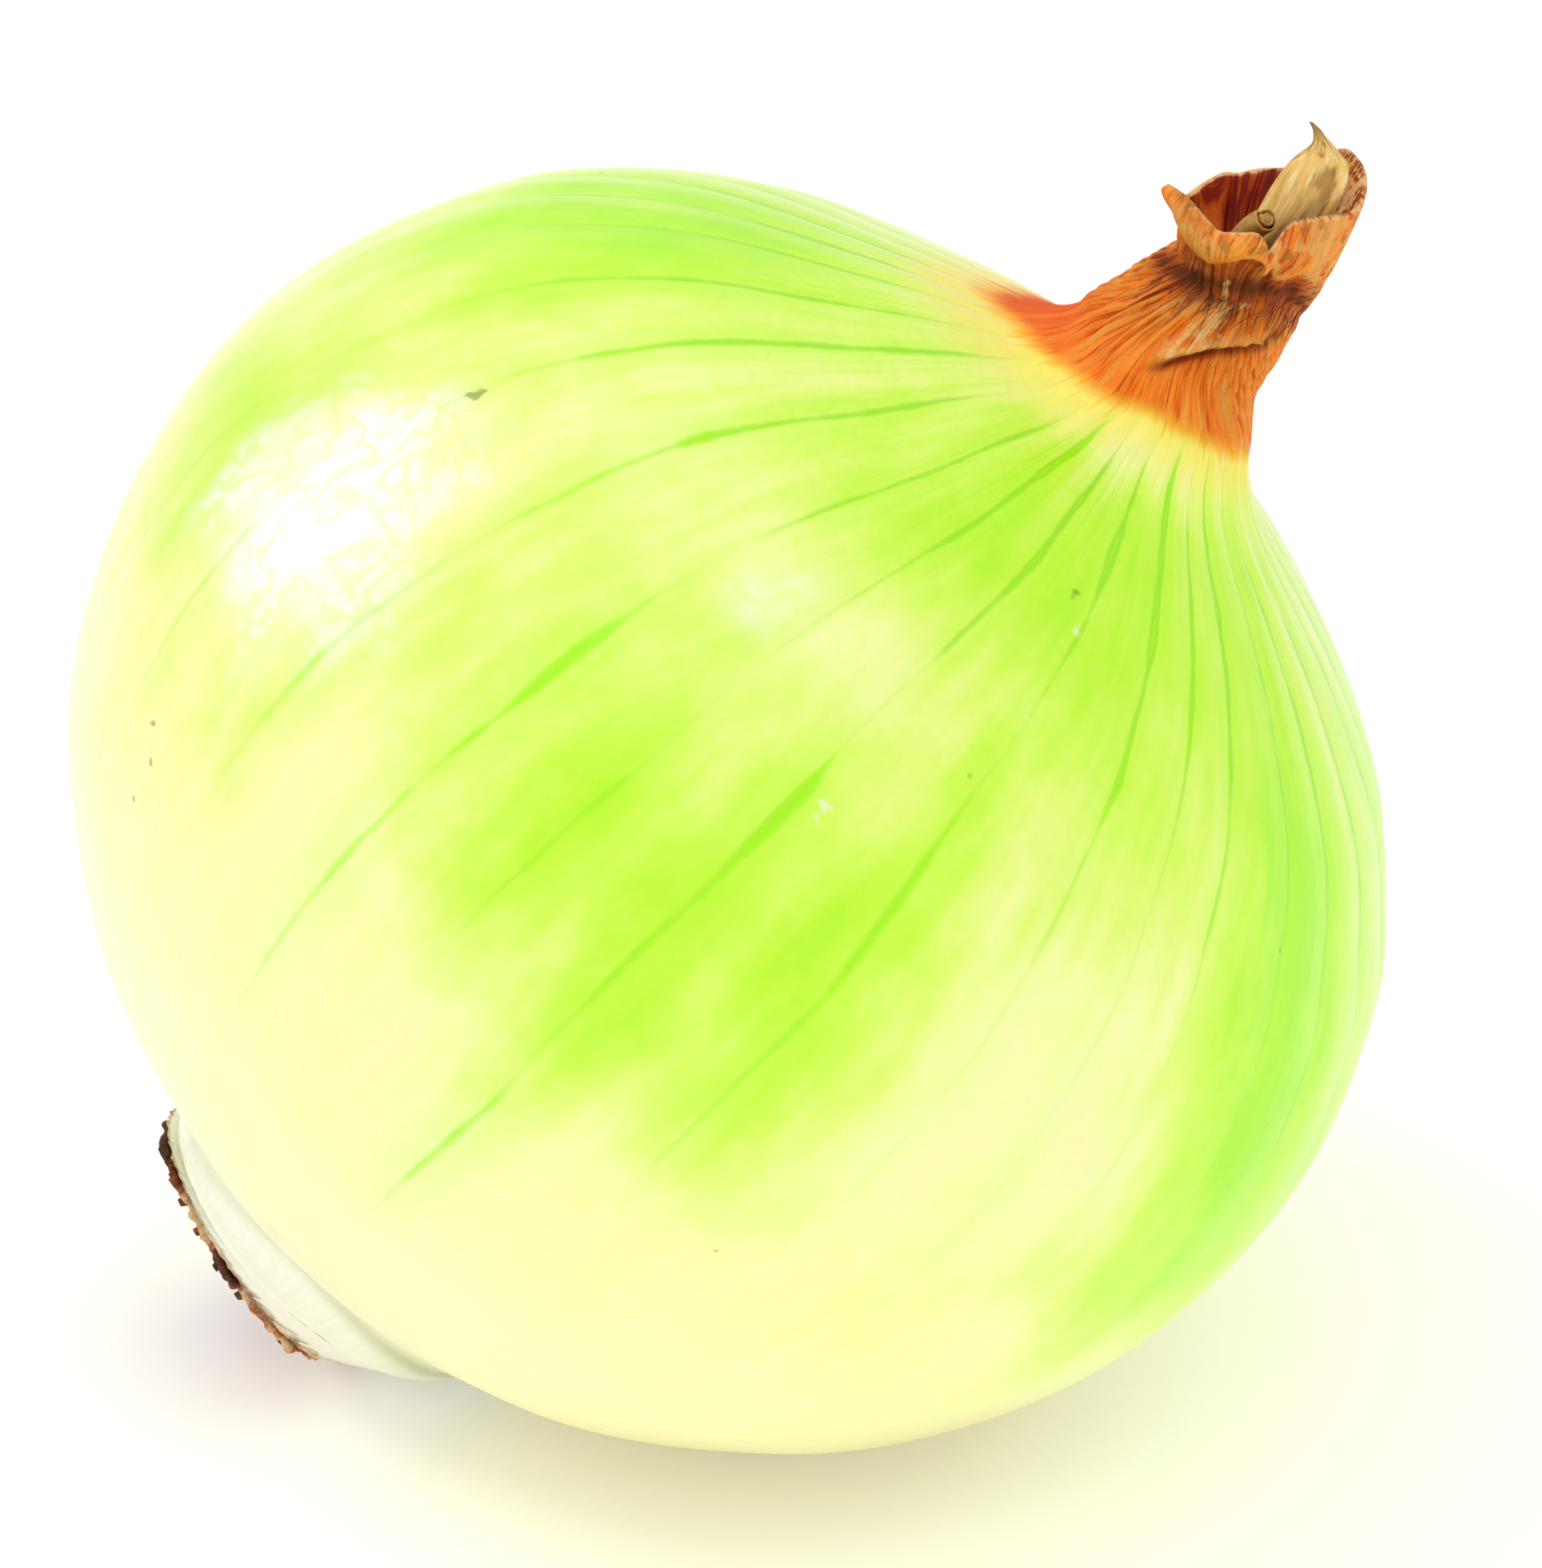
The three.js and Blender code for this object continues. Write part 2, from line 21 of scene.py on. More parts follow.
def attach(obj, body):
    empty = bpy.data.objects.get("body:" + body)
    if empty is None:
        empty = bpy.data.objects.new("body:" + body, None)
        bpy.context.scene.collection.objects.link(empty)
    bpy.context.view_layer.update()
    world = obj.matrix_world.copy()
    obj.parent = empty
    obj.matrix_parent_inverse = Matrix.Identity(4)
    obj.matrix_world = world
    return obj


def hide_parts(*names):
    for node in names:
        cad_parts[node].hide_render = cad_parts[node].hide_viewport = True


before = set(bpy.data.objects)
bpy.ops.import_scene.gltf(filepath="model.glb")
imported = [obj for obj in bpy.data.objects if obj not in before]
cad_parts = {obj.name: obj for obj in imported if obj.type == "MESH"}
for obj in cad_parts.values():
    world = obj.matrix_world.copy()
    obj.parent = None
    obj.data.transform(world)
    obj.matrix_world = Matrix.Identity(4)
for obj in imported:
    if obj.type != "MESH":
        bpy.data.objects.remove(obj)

LOG = logging.getLogger("onion")
MILLIMETRE = 0.001

# Driving dimensions, as the solids have them, in millimetres and degrees.
LEAN = 40.65
AXIS_ORIGIN = (1.122, 0.007, 38.875)
FRONT = -109.1
NECK_LINE = 32.1
LIP_LINE = -40.3
LIP_HOLLOW = 5.0

Profile = list[tuple[float, float, float]]
Line = tuple[tuple[float, float], ...]

BULB_MERIDIAN: Profile = [
    (LIP_LINE, 11.5, 0.8),
    (-39.1, 12.1, 1.1),
    (-36.7, 14.2, 1.0),
    (-34.0, 18.9, 0.4),
    (-30.0, 25.3, -0.1),
    (-25.0, 30.6, -0.3),
    (-20.0, 34.6, -0.3),
    (-10.0, 38.8, -0.1),
    (0.0, 40.0, -0.1),
    (8.0, 38.6, 0.3),
    (16.0, 34.9, 0.6),
    (20.0, 31.5, 0.8),
    (24.0, 26.8, 1.3),
    (28.0, 19.4, 1.8),
    (30.2, 14.6, 1.7),
    (NECK_LINE, 10.0, 1.6),
]
NECK_SECTIONS: Profile = [
    (33.3, 8.2, 1.4),
    (34.7, 6.9, 1.2),
    (36.3, 6.2, 0.7),
    (38.2, 5.2, 0.2),
    (40.0, 4.8, 0.2),
    (41.9, 4.3, 0.3),
]
VEINS = (
    -170, -157, -142, -128, -117, -106, -93, -79, -69, -60, -47, -37, -26, -14, -3, 9,
    20, 32, 43, 55, 66, 78, 90, 101, 113, 124, 136, 147, 157, 167, 177,
)
MOUTH_RIM = (
    (-6.45, 1.8, 44.0),
    (-6.1, 0.55, 44.5),
    (-5.9, -1.15, 44.95),
    (-4.8, -3.4, 45.3),
    (-4.25, -4.05, 45.45),
    (-3.6, -4.7, 46.2),
    (-2.72, -4.83, 46.94),
    (-2.2, -4.95, 46.95),
    (-1.7, -4.95, 46.75),
    (-1.4, -4.8, 46.35),
    (-1.15, -3.4, 48.05),
    (-0.65, -2.85, 48.5),
    (0.35, -2.15, 49.2),
    (2.2, -0.45, 50.35),
    (2.25, 1.1, 51.2),
    (1.8, 2.55, 51.7),
    (1.3, 3.4, 51.75),
    (0.6, 4.25, 51.5),
    (-0.05, 5.5, 49.1),
    (-0.7, 5.95, 47.85),
    (-1.7, 6.3, 46.7),
    (-2.4, 6.25, 45.75),
    (-3.1, 6.0, 45.4),
    (-3.95, 5.0, 44.35),
    (-5.0, 2.9, 43.6),
)


def unit(vector: Sequence[float]) -> np.ndarray:
    """The vector, one long."""
    array = np.asarray(vector, float)
    return array / np.linalg.norm(array)


def smoothstep(value: np.ndarray, low: float, high: float) -> np.ndarray:
    """A soft step.

    Args:
        value: The numbers to step.
        low: Where the step starts, at 0.
        high: Where it ends, at 1.

    Returns:
        The stepped numbers, from 0 to 1.
    """
    share = np.clip((value - low) / (high - low), 0.0, 1.0)
    return share * share * (3.0 - 2.0 * share)


def bump_at(value: np.ndarray, centre: float, spread: float) -> np.ndarray:
    """A soft bump, 1 at its centre and falling off over its spread."""
    return np.exp(-(((value - centre) / spread) ** 2))


def along_line(place: np.ndarray, line: Line) -> np.ndarray:
    """The number that a line of (place, number) pairs has at each place."""
    return np.interp(place, *zip(*line))


def turned(azimuth: np.ndarray, to: float) -> np.ndarray:
    """Azimuths in degrees, counted from another azimuth, from -180 to 180."""
    return (azimuth - to + 180.0) % 360.0 - 180.0


def axis_bearing(points: np.ndarray) -> np.ndarray:
    """Each point's bearing round the onion's axis, in degrees from the front."""
    return turned(np.degrees(np.arctan2(points[..., 1], points[..., 0])), FRONT)


def directions(azimuth: np.ndarray) -> np.ndarray:
    """Level directions, one long, at azimuths in radians."""
    return np.stack([np.cos(azimuth), np.sin(azimuth), np.zeros_like(azimuth)], axis=-1)


def smooth_curve(
    points: Sequence[Sequence[float]], per_span: int, closed: bool = False,
) -> np.ndarray:
    """A centripetal Catmull-Rom curve through points, as the solids' sections are drawn.

    Args:
        points: The points that the curve passes through.
        per_span: How many steps each stretch between two points gets.
        closed: Whether the curve runs on from its last point to its first.

    Returns:
        The curve's points. An open curve ends on its last point, and a closed one stops a step short.
    """
    given = np.asarray(points, float)
    if closed:
        padded = np.vstack([given[-1], given, given[0], given[1]])
    else:
        padded = np.vstack([2 * given[0] - given[1], given, 2 * given[-1] - given[-2]])
    steps = np.linspace(0.0, 1.0, per_span, endpoint=False)[:, None]
    spans = []
    for before, start, end, after in zip(padded[:-3], padded[1:-2], padded[2:-1], padded[3:]):
        lead, span, tail = (
            max(math.sqrt(float(np.linalg.norm(b - a))), 1e-6)
            for a, b in ((before, start), (start, end), (end, after))
        )
        leave = (start - before) / lead - (end - before) / (lead + span) + (end - start) / span
        reach = (end - start) / span - (after - start) / (span + tail) + (after - end) / tail
        leave, reach = leave * span, reach * span
        square = -3 * start + 3 * end - 2 * leave - reach
        cube = 2 * start - 2 * end + leave + reach
        spans.append(start + steps * (leave + steps * (square + steps * cube)))
    curve = np.vstack(spans)
    return curve if closed else np.vstack([curve, given[-1]])


class RippleField:
    """Repeatable ripples round the axis that drift as they climb it."""

    def __init__(self, seed: int, counts: Iterable[int], drift: float) -> None:
        """Draws the ripples' phases.

        Args:
            seed: Fixes the draw.
            counts: How many times each ripple repeats in a full turn.
            drift: How far, in radians, a ripple may slide for each millimetre of height.
        """
        self.counts = list(counts)
        draw = np.random.default_rng(seed)
        self.phases = draw.uniform(0.0, 2 * math.pi, len(self.counts))
        self.drifts = draw.uniform(-drift, drift, len(self.counts))

    def at(self, azimuth: np.ndarray, height: np.ndarray) -> np.ndarray:
        """The ripples' height, about -1 to 1.

        Args:
            azimuth: In radians.
            height: In millimetres.

        Returns:
            One number for each place.
        """
        total = sum(
            np.cos(count * azimuth + phase + slide * height)
            for count, phase, slide in zip(self.counts, self.phases, self.drifts)
        )
        return total / math.sqrt(2.0 * len(self.counts))

    def round(self, azimuth: np.ndarray) -> np.ndarray:
        """The ripples' height round one level ring, at azimuths in radians."""
        return self.at(azimuth, np.zeros_like(azimuth))


@dataclass(frozen=True)
class OnionAxes:
    """Where the onion's own axes lie in the row frame."""

    lean: float = LEAN
    origin: tuple[float, float, float] = AXIS_ORIGIN

    def matrix(self) -> Matrix:
        """The turn and move from the onion's axes to the row frame, in millimetres."""
        return Matrix.Translation(self.origin) @ Matrix.Rotation(math.radians(self.lean), 4, "Y")

    def to_row(self, points: np.ndarray) -> np.ndarray:
        """Points in the row frame, in metres.

        Args:
            points: Points about the onion's own axis, in millimetres.

        Returns:
            The same points where the onion lies, no lower than the floor.
        """
        matrix = np.array(self.matrix())
        flat = points.reshape(-1, 3)
        placed = flat @ matrix[:3, :3].T + matrix[:3, 3]
        placed[:, 2] = np.maximum(placed[:, 2], 0.0)
        return placed.reshape(points.shape) * MILLIMETRE


AXES = OnionAxes()

Mark = tuple[float, float, float]

# Height, bearing and radius of small marks on the outer scale.
SPECKS: tuple[Mark, ...] = (
    (28.4, 12.5, 0.28), (14.3, -47.5, 0.42), (-13.5, -41.0, 0.3), (-16.3, -41.0, 0.28),
    (-12.0, -43.5, 0.22), (-22.7, -27.5, 0.26), (32.5, -27.0, 0.22), (-7.9, 25.0, 0.18),
    (20.5, 62.0, 0.2), (-2.0, 66.0, 0.22),
)
SCARS: tuple[Mark, ...] = (
    (15.2, 5.2, 0.45), (14.5, 5.8, 0.4), (13.8, 6.3, 0.3), (27.4, 16.0, 0.5), (26.9, 14.6, 0.4),
    (24.0, 15.5, 0.4), (21.5, 12.0, 0.4), (20.6, 11.4, 0.35), (-13.0, 41.0, 0.3),
)


def surface_point(height: float, bearing: float) -> tuple[float, float, float]:
    """Where the bulb's skin lies at a height and a bearing, in the row frame, in metres."""
    curve = smooth_curve([(radius, offset, level) for level, radius, offset in BULB_MERIDIAN], 12)
    radius = float(np.interp(height, curve[:, 2], curve[:, 0]))
    offset = float(np.interp(height, curve[:, 2], curve[:, 1]))
    azimuth = math.radians(bearing + FRONT)
    place = np.array([offset + radius * math.cos(azimuth), radius * math.sin(azimuth), height])
    return tuple(float(number) for number in AXES.to_row(place))


Colour = tuple[float, float, float, float]
Link = Union["Value", float, Colour, tuple[float, float, float]]
Settings = Optional[dict[str, Any]]
Sockets = Optional[dict[Union[str, int], Any]]


def add_node(
    tree: bpy.types.NodeTree, kind: str, settings: Settings = None, sockets: Sockets = None,
) -> bpy.types.Node:
    """Adds a node to a tree.

    Args:
        tree: The tree.
        kind: The node's type.
        settings: Its properties, set first.
        sockets: Values or sockets for its inputs, by name or by number.

    Returns:
        The node.
    """
    made = tree.nodes.new(kind)
    for key, setting in (settings or {}).items():
        setattr(made, key, setting)
    for key, given in (sockets or {}).items():
        if isinstance(given, bpy.types.NodeSocket):
            tree.links.new(given, made.inputs[key])
        else:
            made.inputs[key].default_value = given
    return made


def add_object(name: str, data: Any) -> bpy.types.Object:
    """Puts a new object with this data into the scene."""
    made = bpy.data.objects.new(name, data)
    bpy.context.scene.collection.objects.link(made)
    return made


def shade(red: int, green: int, blue: int) -> Colour:
    """A display colour, 0 to 255 a channel, as the linear colour that shaders use."""
    def linear(channel: int) -> float:
        """One channel made linear."""
        share = channel / 255.0
        return share / 12.92 if share <= 0.04045 else ((share + 0.055) / 1.055) ** 2.4

    return (linear(red), linear(green), linear(blue), 1.0)


class Value:
    """One output socket in a material, with which numbers can be reckoned."""

    def __init__(self, painter: "Painter", socket: bpy.types.NodeSocket) -> None:
        """Keeps the socket and the painter that owns it."""
        self.painter = painter
        self.socket = socket

    def _reckon(self, operation: str, *terms: Link, clamp: bool = False) -> "Value":
        """Adds a Math node over the terms and gives its result."""
        settings = {"operation": operation, "use_clamp": clamp}
        made = self.painter.node("ShaderNodeMath", settings, dict(enumerate(terms)))
        return Value(self.painter, made.outputs[0])

    def __add__(self, other: Link) -> "Value":
        """This plus other."""
        return self._reckon("ADD", self, other)

    __radd__ = __add__

    def __sub__(self, other: Link) -> "Value":
        """This minus other."""
        return self._reckon("SUBTRACT", self, other)

    def __rsub__(self, other: Link) -> "Value":
        """Other minus this."""
        return self._reckon("SUBTRACT", other, self)

    def __mul__(self, other: Link) -> "Value":
        """This times other."""
        return self._reckon("MULTIPLY", self, other)

    __rmul__ = __mul__

    def __truediv__(self, other: Link) -> "Value":
        """This over other."""
        return self._reckon("DIVIDE", self, other)

    def __rtruediv__(self, other: Link) -> "Value":
        """Other over this."""
        return self._reckon("DIVIDE", other, self)

    def distance(self) -> "Value":
        """This without its sign."""
        return self._reckon("ABSOLUTE", self)

    def nearest_whole(self) -> "Value":
        """This rounded to a whole number."""
        return self._reckon("ROUND", self)

    def at_most(self, other: Link) -> "Value":
        """The lower of this and other."""
        return self._reckon("MINIMUM", self, other)

    def swing(self, amount: float) -> "Value":
        """A noise from 0 to 1, made to swing about 0, amount from end to end."""
        return (self - 0.5) * amount

    def held(self) -> "Value":
        """This kept between 0 and 1."""
        return self._reckon("ADD", self, 0.0, clamp=True)

    def step(self, low: float, high: float) -> "Value":
        """A soft step of this value.

        Args:
            low: Where the step leaves 0.
            high: Where it reaches 1. It may be lower than low, for a step down.

        Returns:
            The stepped value.
        """
        if low > high:
            return 1.0 - self.step(high, low)
        settings = {"interpolation_type": "SMOOTHSTEP"}
        sockets = {"Value": self, "From Min": low, "From Max": high}
        made = self.painter.node("ShaderNodeMapRange", settings, sockets)
        return Value(self.painter, made.outputs[0])


class Painter:
    """Builds one procedural material."""

    def __init__(self, name: str) -> None:
        """Starts an empty material.

        Args:
            name: The material's name.
        """
        self.material = bpy.data.materials.new(name)
        self.material.use_nodes = True
        self.tree = self.material.node_tree
        self.tree.nodes.clear()

    def node(self, kind: str, settings: Settings = None, sockets: Sockets = None) -> bpy.types.Node:
        """Adds a node.

        Args:
            kind: The node's type.
            settings: Its properties.
            sockets: Numbers, colours or Values for its inputs, by name or by number.

        Returns:
            The node.
        """
        given = {
            key: value.socket if isinstance(value, Value) else value
            for key, value in (sockets or {}).items()
        }
        return add_node(self.tree, kind, settings, given)

    def own(self, name: str) -> Value:
        """The piece's own attribute of that name."""
        made = self.node("ShaderNodeAttribute", {"attribute_name": name})
        return Value(self, made.outputs["Fac"])

    def place(self) -> Value:
        """Object coordinates, in metres."""
        return Value(self, self.node("ShaderNodeTexCoord").outputs["Object"])

    def ring(self, across: float, along: float) -> Value:
        """The piece's place round its cylinder, stretched.

        Args:
            across: How many units a vein's width counts for.
            along: How many units a millimetre of height counts for.

        Returns:
            The stretched place.
        """
        made = self.node("ShaderNodeAttribute", {"attribute_name": "ring"})
        place = Value(self, made.outputs["Vector"])
        terms = {0: place, 1: (across, across, along)}
        stretched = self.node("ShaderNodeVectorMath", {"operation": "MULTIPLY"}, terms)
        return Value(self, stretched.outputs[0])

    def wandering(self, at: Value, scale: float, reach: float) -> Value:
        """A place pushed about by noise.

        Args:
            at: The place.
            scale: How many pushes fit in one unit.
            reach: How far the place is pushed.

        Returns:
            The pushed place.
        """
        noise = self.node("ShaderNodeTexNoise", None, {"Vector": at, "Scale": scale, "Detail": 0.0})
        centred = self.node("ShaderNodeVectorMath", {"operation": "SUBTRACT"}, {
            0: Value(self, noise.outputs["Color"]), 1: (0.5, 0.5, 0.5),
        })
        pushed = self.node("ShaderNodeVectorMath", {"operation": "MULTIPLY_ADD"}, {
            0: Value(self, centred.outputs[0]), 1: (reach, reach, 0.0), 2: at,
        })
        return Value(self, pushed.outputs[0])

    def grain(self) -> tuple[Value, Value]:
        """The piece's UV map, as its two numbers."""
        mapped = self.node("ShaderNodeUVMap", {"uv_map": "grain"})
        split = self.node("ShaderNodeSeparateXYZ", None, {0: Value(self, mapped.outputs[0])})
        return Value(self, split.outputs[0]), Value(self, split.outputs[1])

    def point(self, x: Link, y: Link, z: Link = 0.0) -> Value:
        """A vector of three numbers."""
        return Value(self, self.node("ShaderNodeCombineXYZ", None, {0: x, 1: y, 2: z}).outputs[0])

    def mottle(self, at: Value, scale: float, detail: float = 3.0, rough: float = 0.55) -> Value:
        """Soft noise from 0 to 1.

        Args:
            at: Where the noise is read.
            scale: How many blotches fit in one unit.
            detail: How many finer layers it has.
            rough: How strong the finer layers are.

        Returns:
            The noise.
        """
        sockets = {"Vector": at, "Scale": scale, "Detail": detail, "Roughness": rough}
        return Value(self, self.node("ShaderNodeTexNoise", None, sockets).outputs[0])

    def specks(self, at: Value, scale: float, size: float) -> Value:
        """Sparse round spots, 1 in their middle.

        Args:
            at: Where the spots are read.
            scale: How many cells fit in one unit.
            size: A spot's radius, as a share of a cell.

        Returns:
            The spots.
        """
        made = self.node("ShaderNodeTexVoronoi", None, {"Vector": at, "Scale": scale})
        return Value(self, made.outputs["Distance"]).step(size, 0.3 * size)

    def spots(self, at: Value, marks: Sequence[Mark]) -> Value:
        """Single round spots on the bulb's skin, 1 in their middle.

        Args:
            at: The place that is asked about.
            marks: Each spot's height and bearing, and its radius in millimetres.

        Returns:
            The spots.
        """
        away = []
        for height, bearing, radius in marks:
            terms = {0: at, 1: surface_point(height, bearing)}
            made = self.node("ShaderNodeVectorMath", {"operation": "DISTANCE"}, terms)
            away.append(Value(self, made.outputs["Value"]) / (radius * MILLIMETRE))
        return reduce(Value.at_most, away).step(1.2, 0.5)

    def blend(self, share: Link, first: Link, second: Link) -> Value:
        """A mix of two colours.

        Args:
            share: How much of the second colour shows, 0 to 1.
            first: The colour at 0.
            second: The colour at 1.

        Returns:
            The mixed colour.
        """
        settings = {"data_type": "RGBA", "clamp_factor": True}
        made = self.node("ShaderNodeMix", settings, {0: share, 6: first, 7: second})
        return Value(self, made.outputs[2])

    def layered(self, colour: Link, *layers: tuple[Link, Link]) -> Link:
        """A colour under layers of others.

        Args:
            colour: The lowest colour.
            layers: Each layer's share, 0 to 1, and its colour, from the lowest up.

        Returns:
            The colour that shows.
        """
        for share, over in layers:
            colour = self.blend(share, colour, over)
        return colour

    def scale(self, share: Value, stops: Sequence[tuple[float, Colour]]) -> Value:
        """A colour read off a ramp of (place, colour) stops."""
        made = self.node("ShaderNodeValToRGB", None, {0: share})
        ramp = made.color_ramp
        while len(ramp.elements) < len(stops):
            ramp.elements.new(0.5)
        for element, (place, colour) in zip(ramp.elements, stops):
            element.position = place
            element.color = colour
        return Value(self, made.outputs[0])

    def relief(self, height: Value, depth: float) -> Value:
        """A normal bent by a height, whose full range is depth, in metres."""
        sockets = {"Height": height, "Strength": 1.0, "Distance": depth}
        return Value(self, self.node("ShaderNodeBump", None, sockets).outputs[0])

    def finish(self, **sockets: Link) -> bpy.types.Material:
        """Ends the material in a Principled shader.

        Args:
            sockets: The shader's inputs, by name, with _ for a space.

        Returns:
            The material.
        """
        inputs = {name.replace("_", " "): given for name, given in sockets.items()}
        shader = self.node("ShaderNodeBsdfPrincipled", None, inputs)
        result = Value(self, shader.outputs[0])
        self.node("ShaderNodeOutputMaterial", None, {"Surface": result})
        return self.material


class FleshPattern:
    """The attributes and noises that the flesh's colours share."""

    def __init__(self, paint: Painter) -> None:
        """Reads the attributes and lays the noises.

        Args:
            paint: The material that they are for.
        """
        self.paint = paint
        self.place = paint.place()
        self.above = paint.own("above_line")
        self.vein = paint.own("vein")
        self.spread = paint.own("vein_spread")
        self.fibre = paint.mottle(paint.ring(4.0, 0.12), 1.0, 4.0, 0.6)
        self.cloud = paint.mottle(self.place, 130.0, 3.0, 0.55)
        self.grainy = paint.mottle(self.place, 900.0, 2.0, 0.6)
        self.haze = paint.mottle(paint.ring(1.1, 0.07), 1.0, 2.0, 0.6)

    def veins(self) -> tuple[Value, Value, Value]:
        """The veins, as the brush strokes they show as.

        Returns:
            How strong the nearest vein is, its narrow core and the wide halo beside it.
        """
        paint, spread = self.paint, self.spread
        around, along = paint.grain()
        row = around.nearest_whole()
        shifted = around + paint.mottle(paint.point(row, along * 0.06), 1.0).swing(0.16)
        girth = paint.own("girth") * (2 * math.pi / len(VEINS))
        gap = (shifted - shifted.nearest_whole()).distance() * girth
        gap = gap + paint.mottle(paint.ring(3.0, 0.35), 1.0, 3.0, 0.6).swing(0.9) * spread
        patchy = paint.mottle(paint.point(row * 3.7, along * 0.14), 1.0, 3.0, 0.6)
        strength = self.vein * (0.35 + 0.75 * patchy.step(0.3, 0.68))
        brush = paint.mottle(paint.wandering(paint.ring(13.0, 0.16), 0.3, 0.8), 1.0, 4.0, 0.65)
        core = (1.0 - gap / (spread * (0.3 + 0.7 * strength) * (0.5 + brush))).held()
        halo = (1.0 - gap / (spread * 5.5 * (0.6 + 0.8 * self.fibre))).held()
        return strength, core, halo

    def crinkles(self) -> Value:
        """The height of the flesh's fine crinkles and fibres."""
        crinkle = self.paint.mottle(self.place, 620.0, 2.0).swing(1.0).distance()
        return crinkle * 0.6 + self.fibre * 0.2


class NeckPattern:
    """The noises that the dried neck's colours share."""

    def __init__(self, paint: Painter, flesh: FleshPattern) -> None:
        """Lays the noises.

        Args:
            paint: The material that they are for.
            flesh: The pattern of the flesh under them.
        """
        self.place = flesh.place
        self.above = flesh.above
        self.streak = paint.mottle(paint.wandering(paint.ring(5.5, 0.24), 0.35, 1.4), 1.0, 4.0, 0.65)
        self.main = paint.mottle(paint.wandering(paint.ring(1.9, 0.13), 0.4, 1.3), 1.0, 3.0, 0.6)
        thin = paint.mottle(paint.wandering(paint.ring(7.0, 0.3), 0.3, 2.0), 1.0, 3.0, 0.6)
        self.thin = thin.step(0.47, 0.33)
        self.drift = paint.mottle(paint.ring(0.5, 0.2), 1.0, 3.0, 0.6)
        self.blotch = paint.mottle(self.place, 330.0, 3.0, 0.65)
        self.flecked = paint.mottle(paint.wandering(self.place, 500.0, 0.001), 760.0, 3.0, 0.6)
        self.edge = self.above + self.streak.swing(0.95) + (self.thin - 0.3) * 0.3
        self.edge = self.edge + self.drift.swing(0.5)


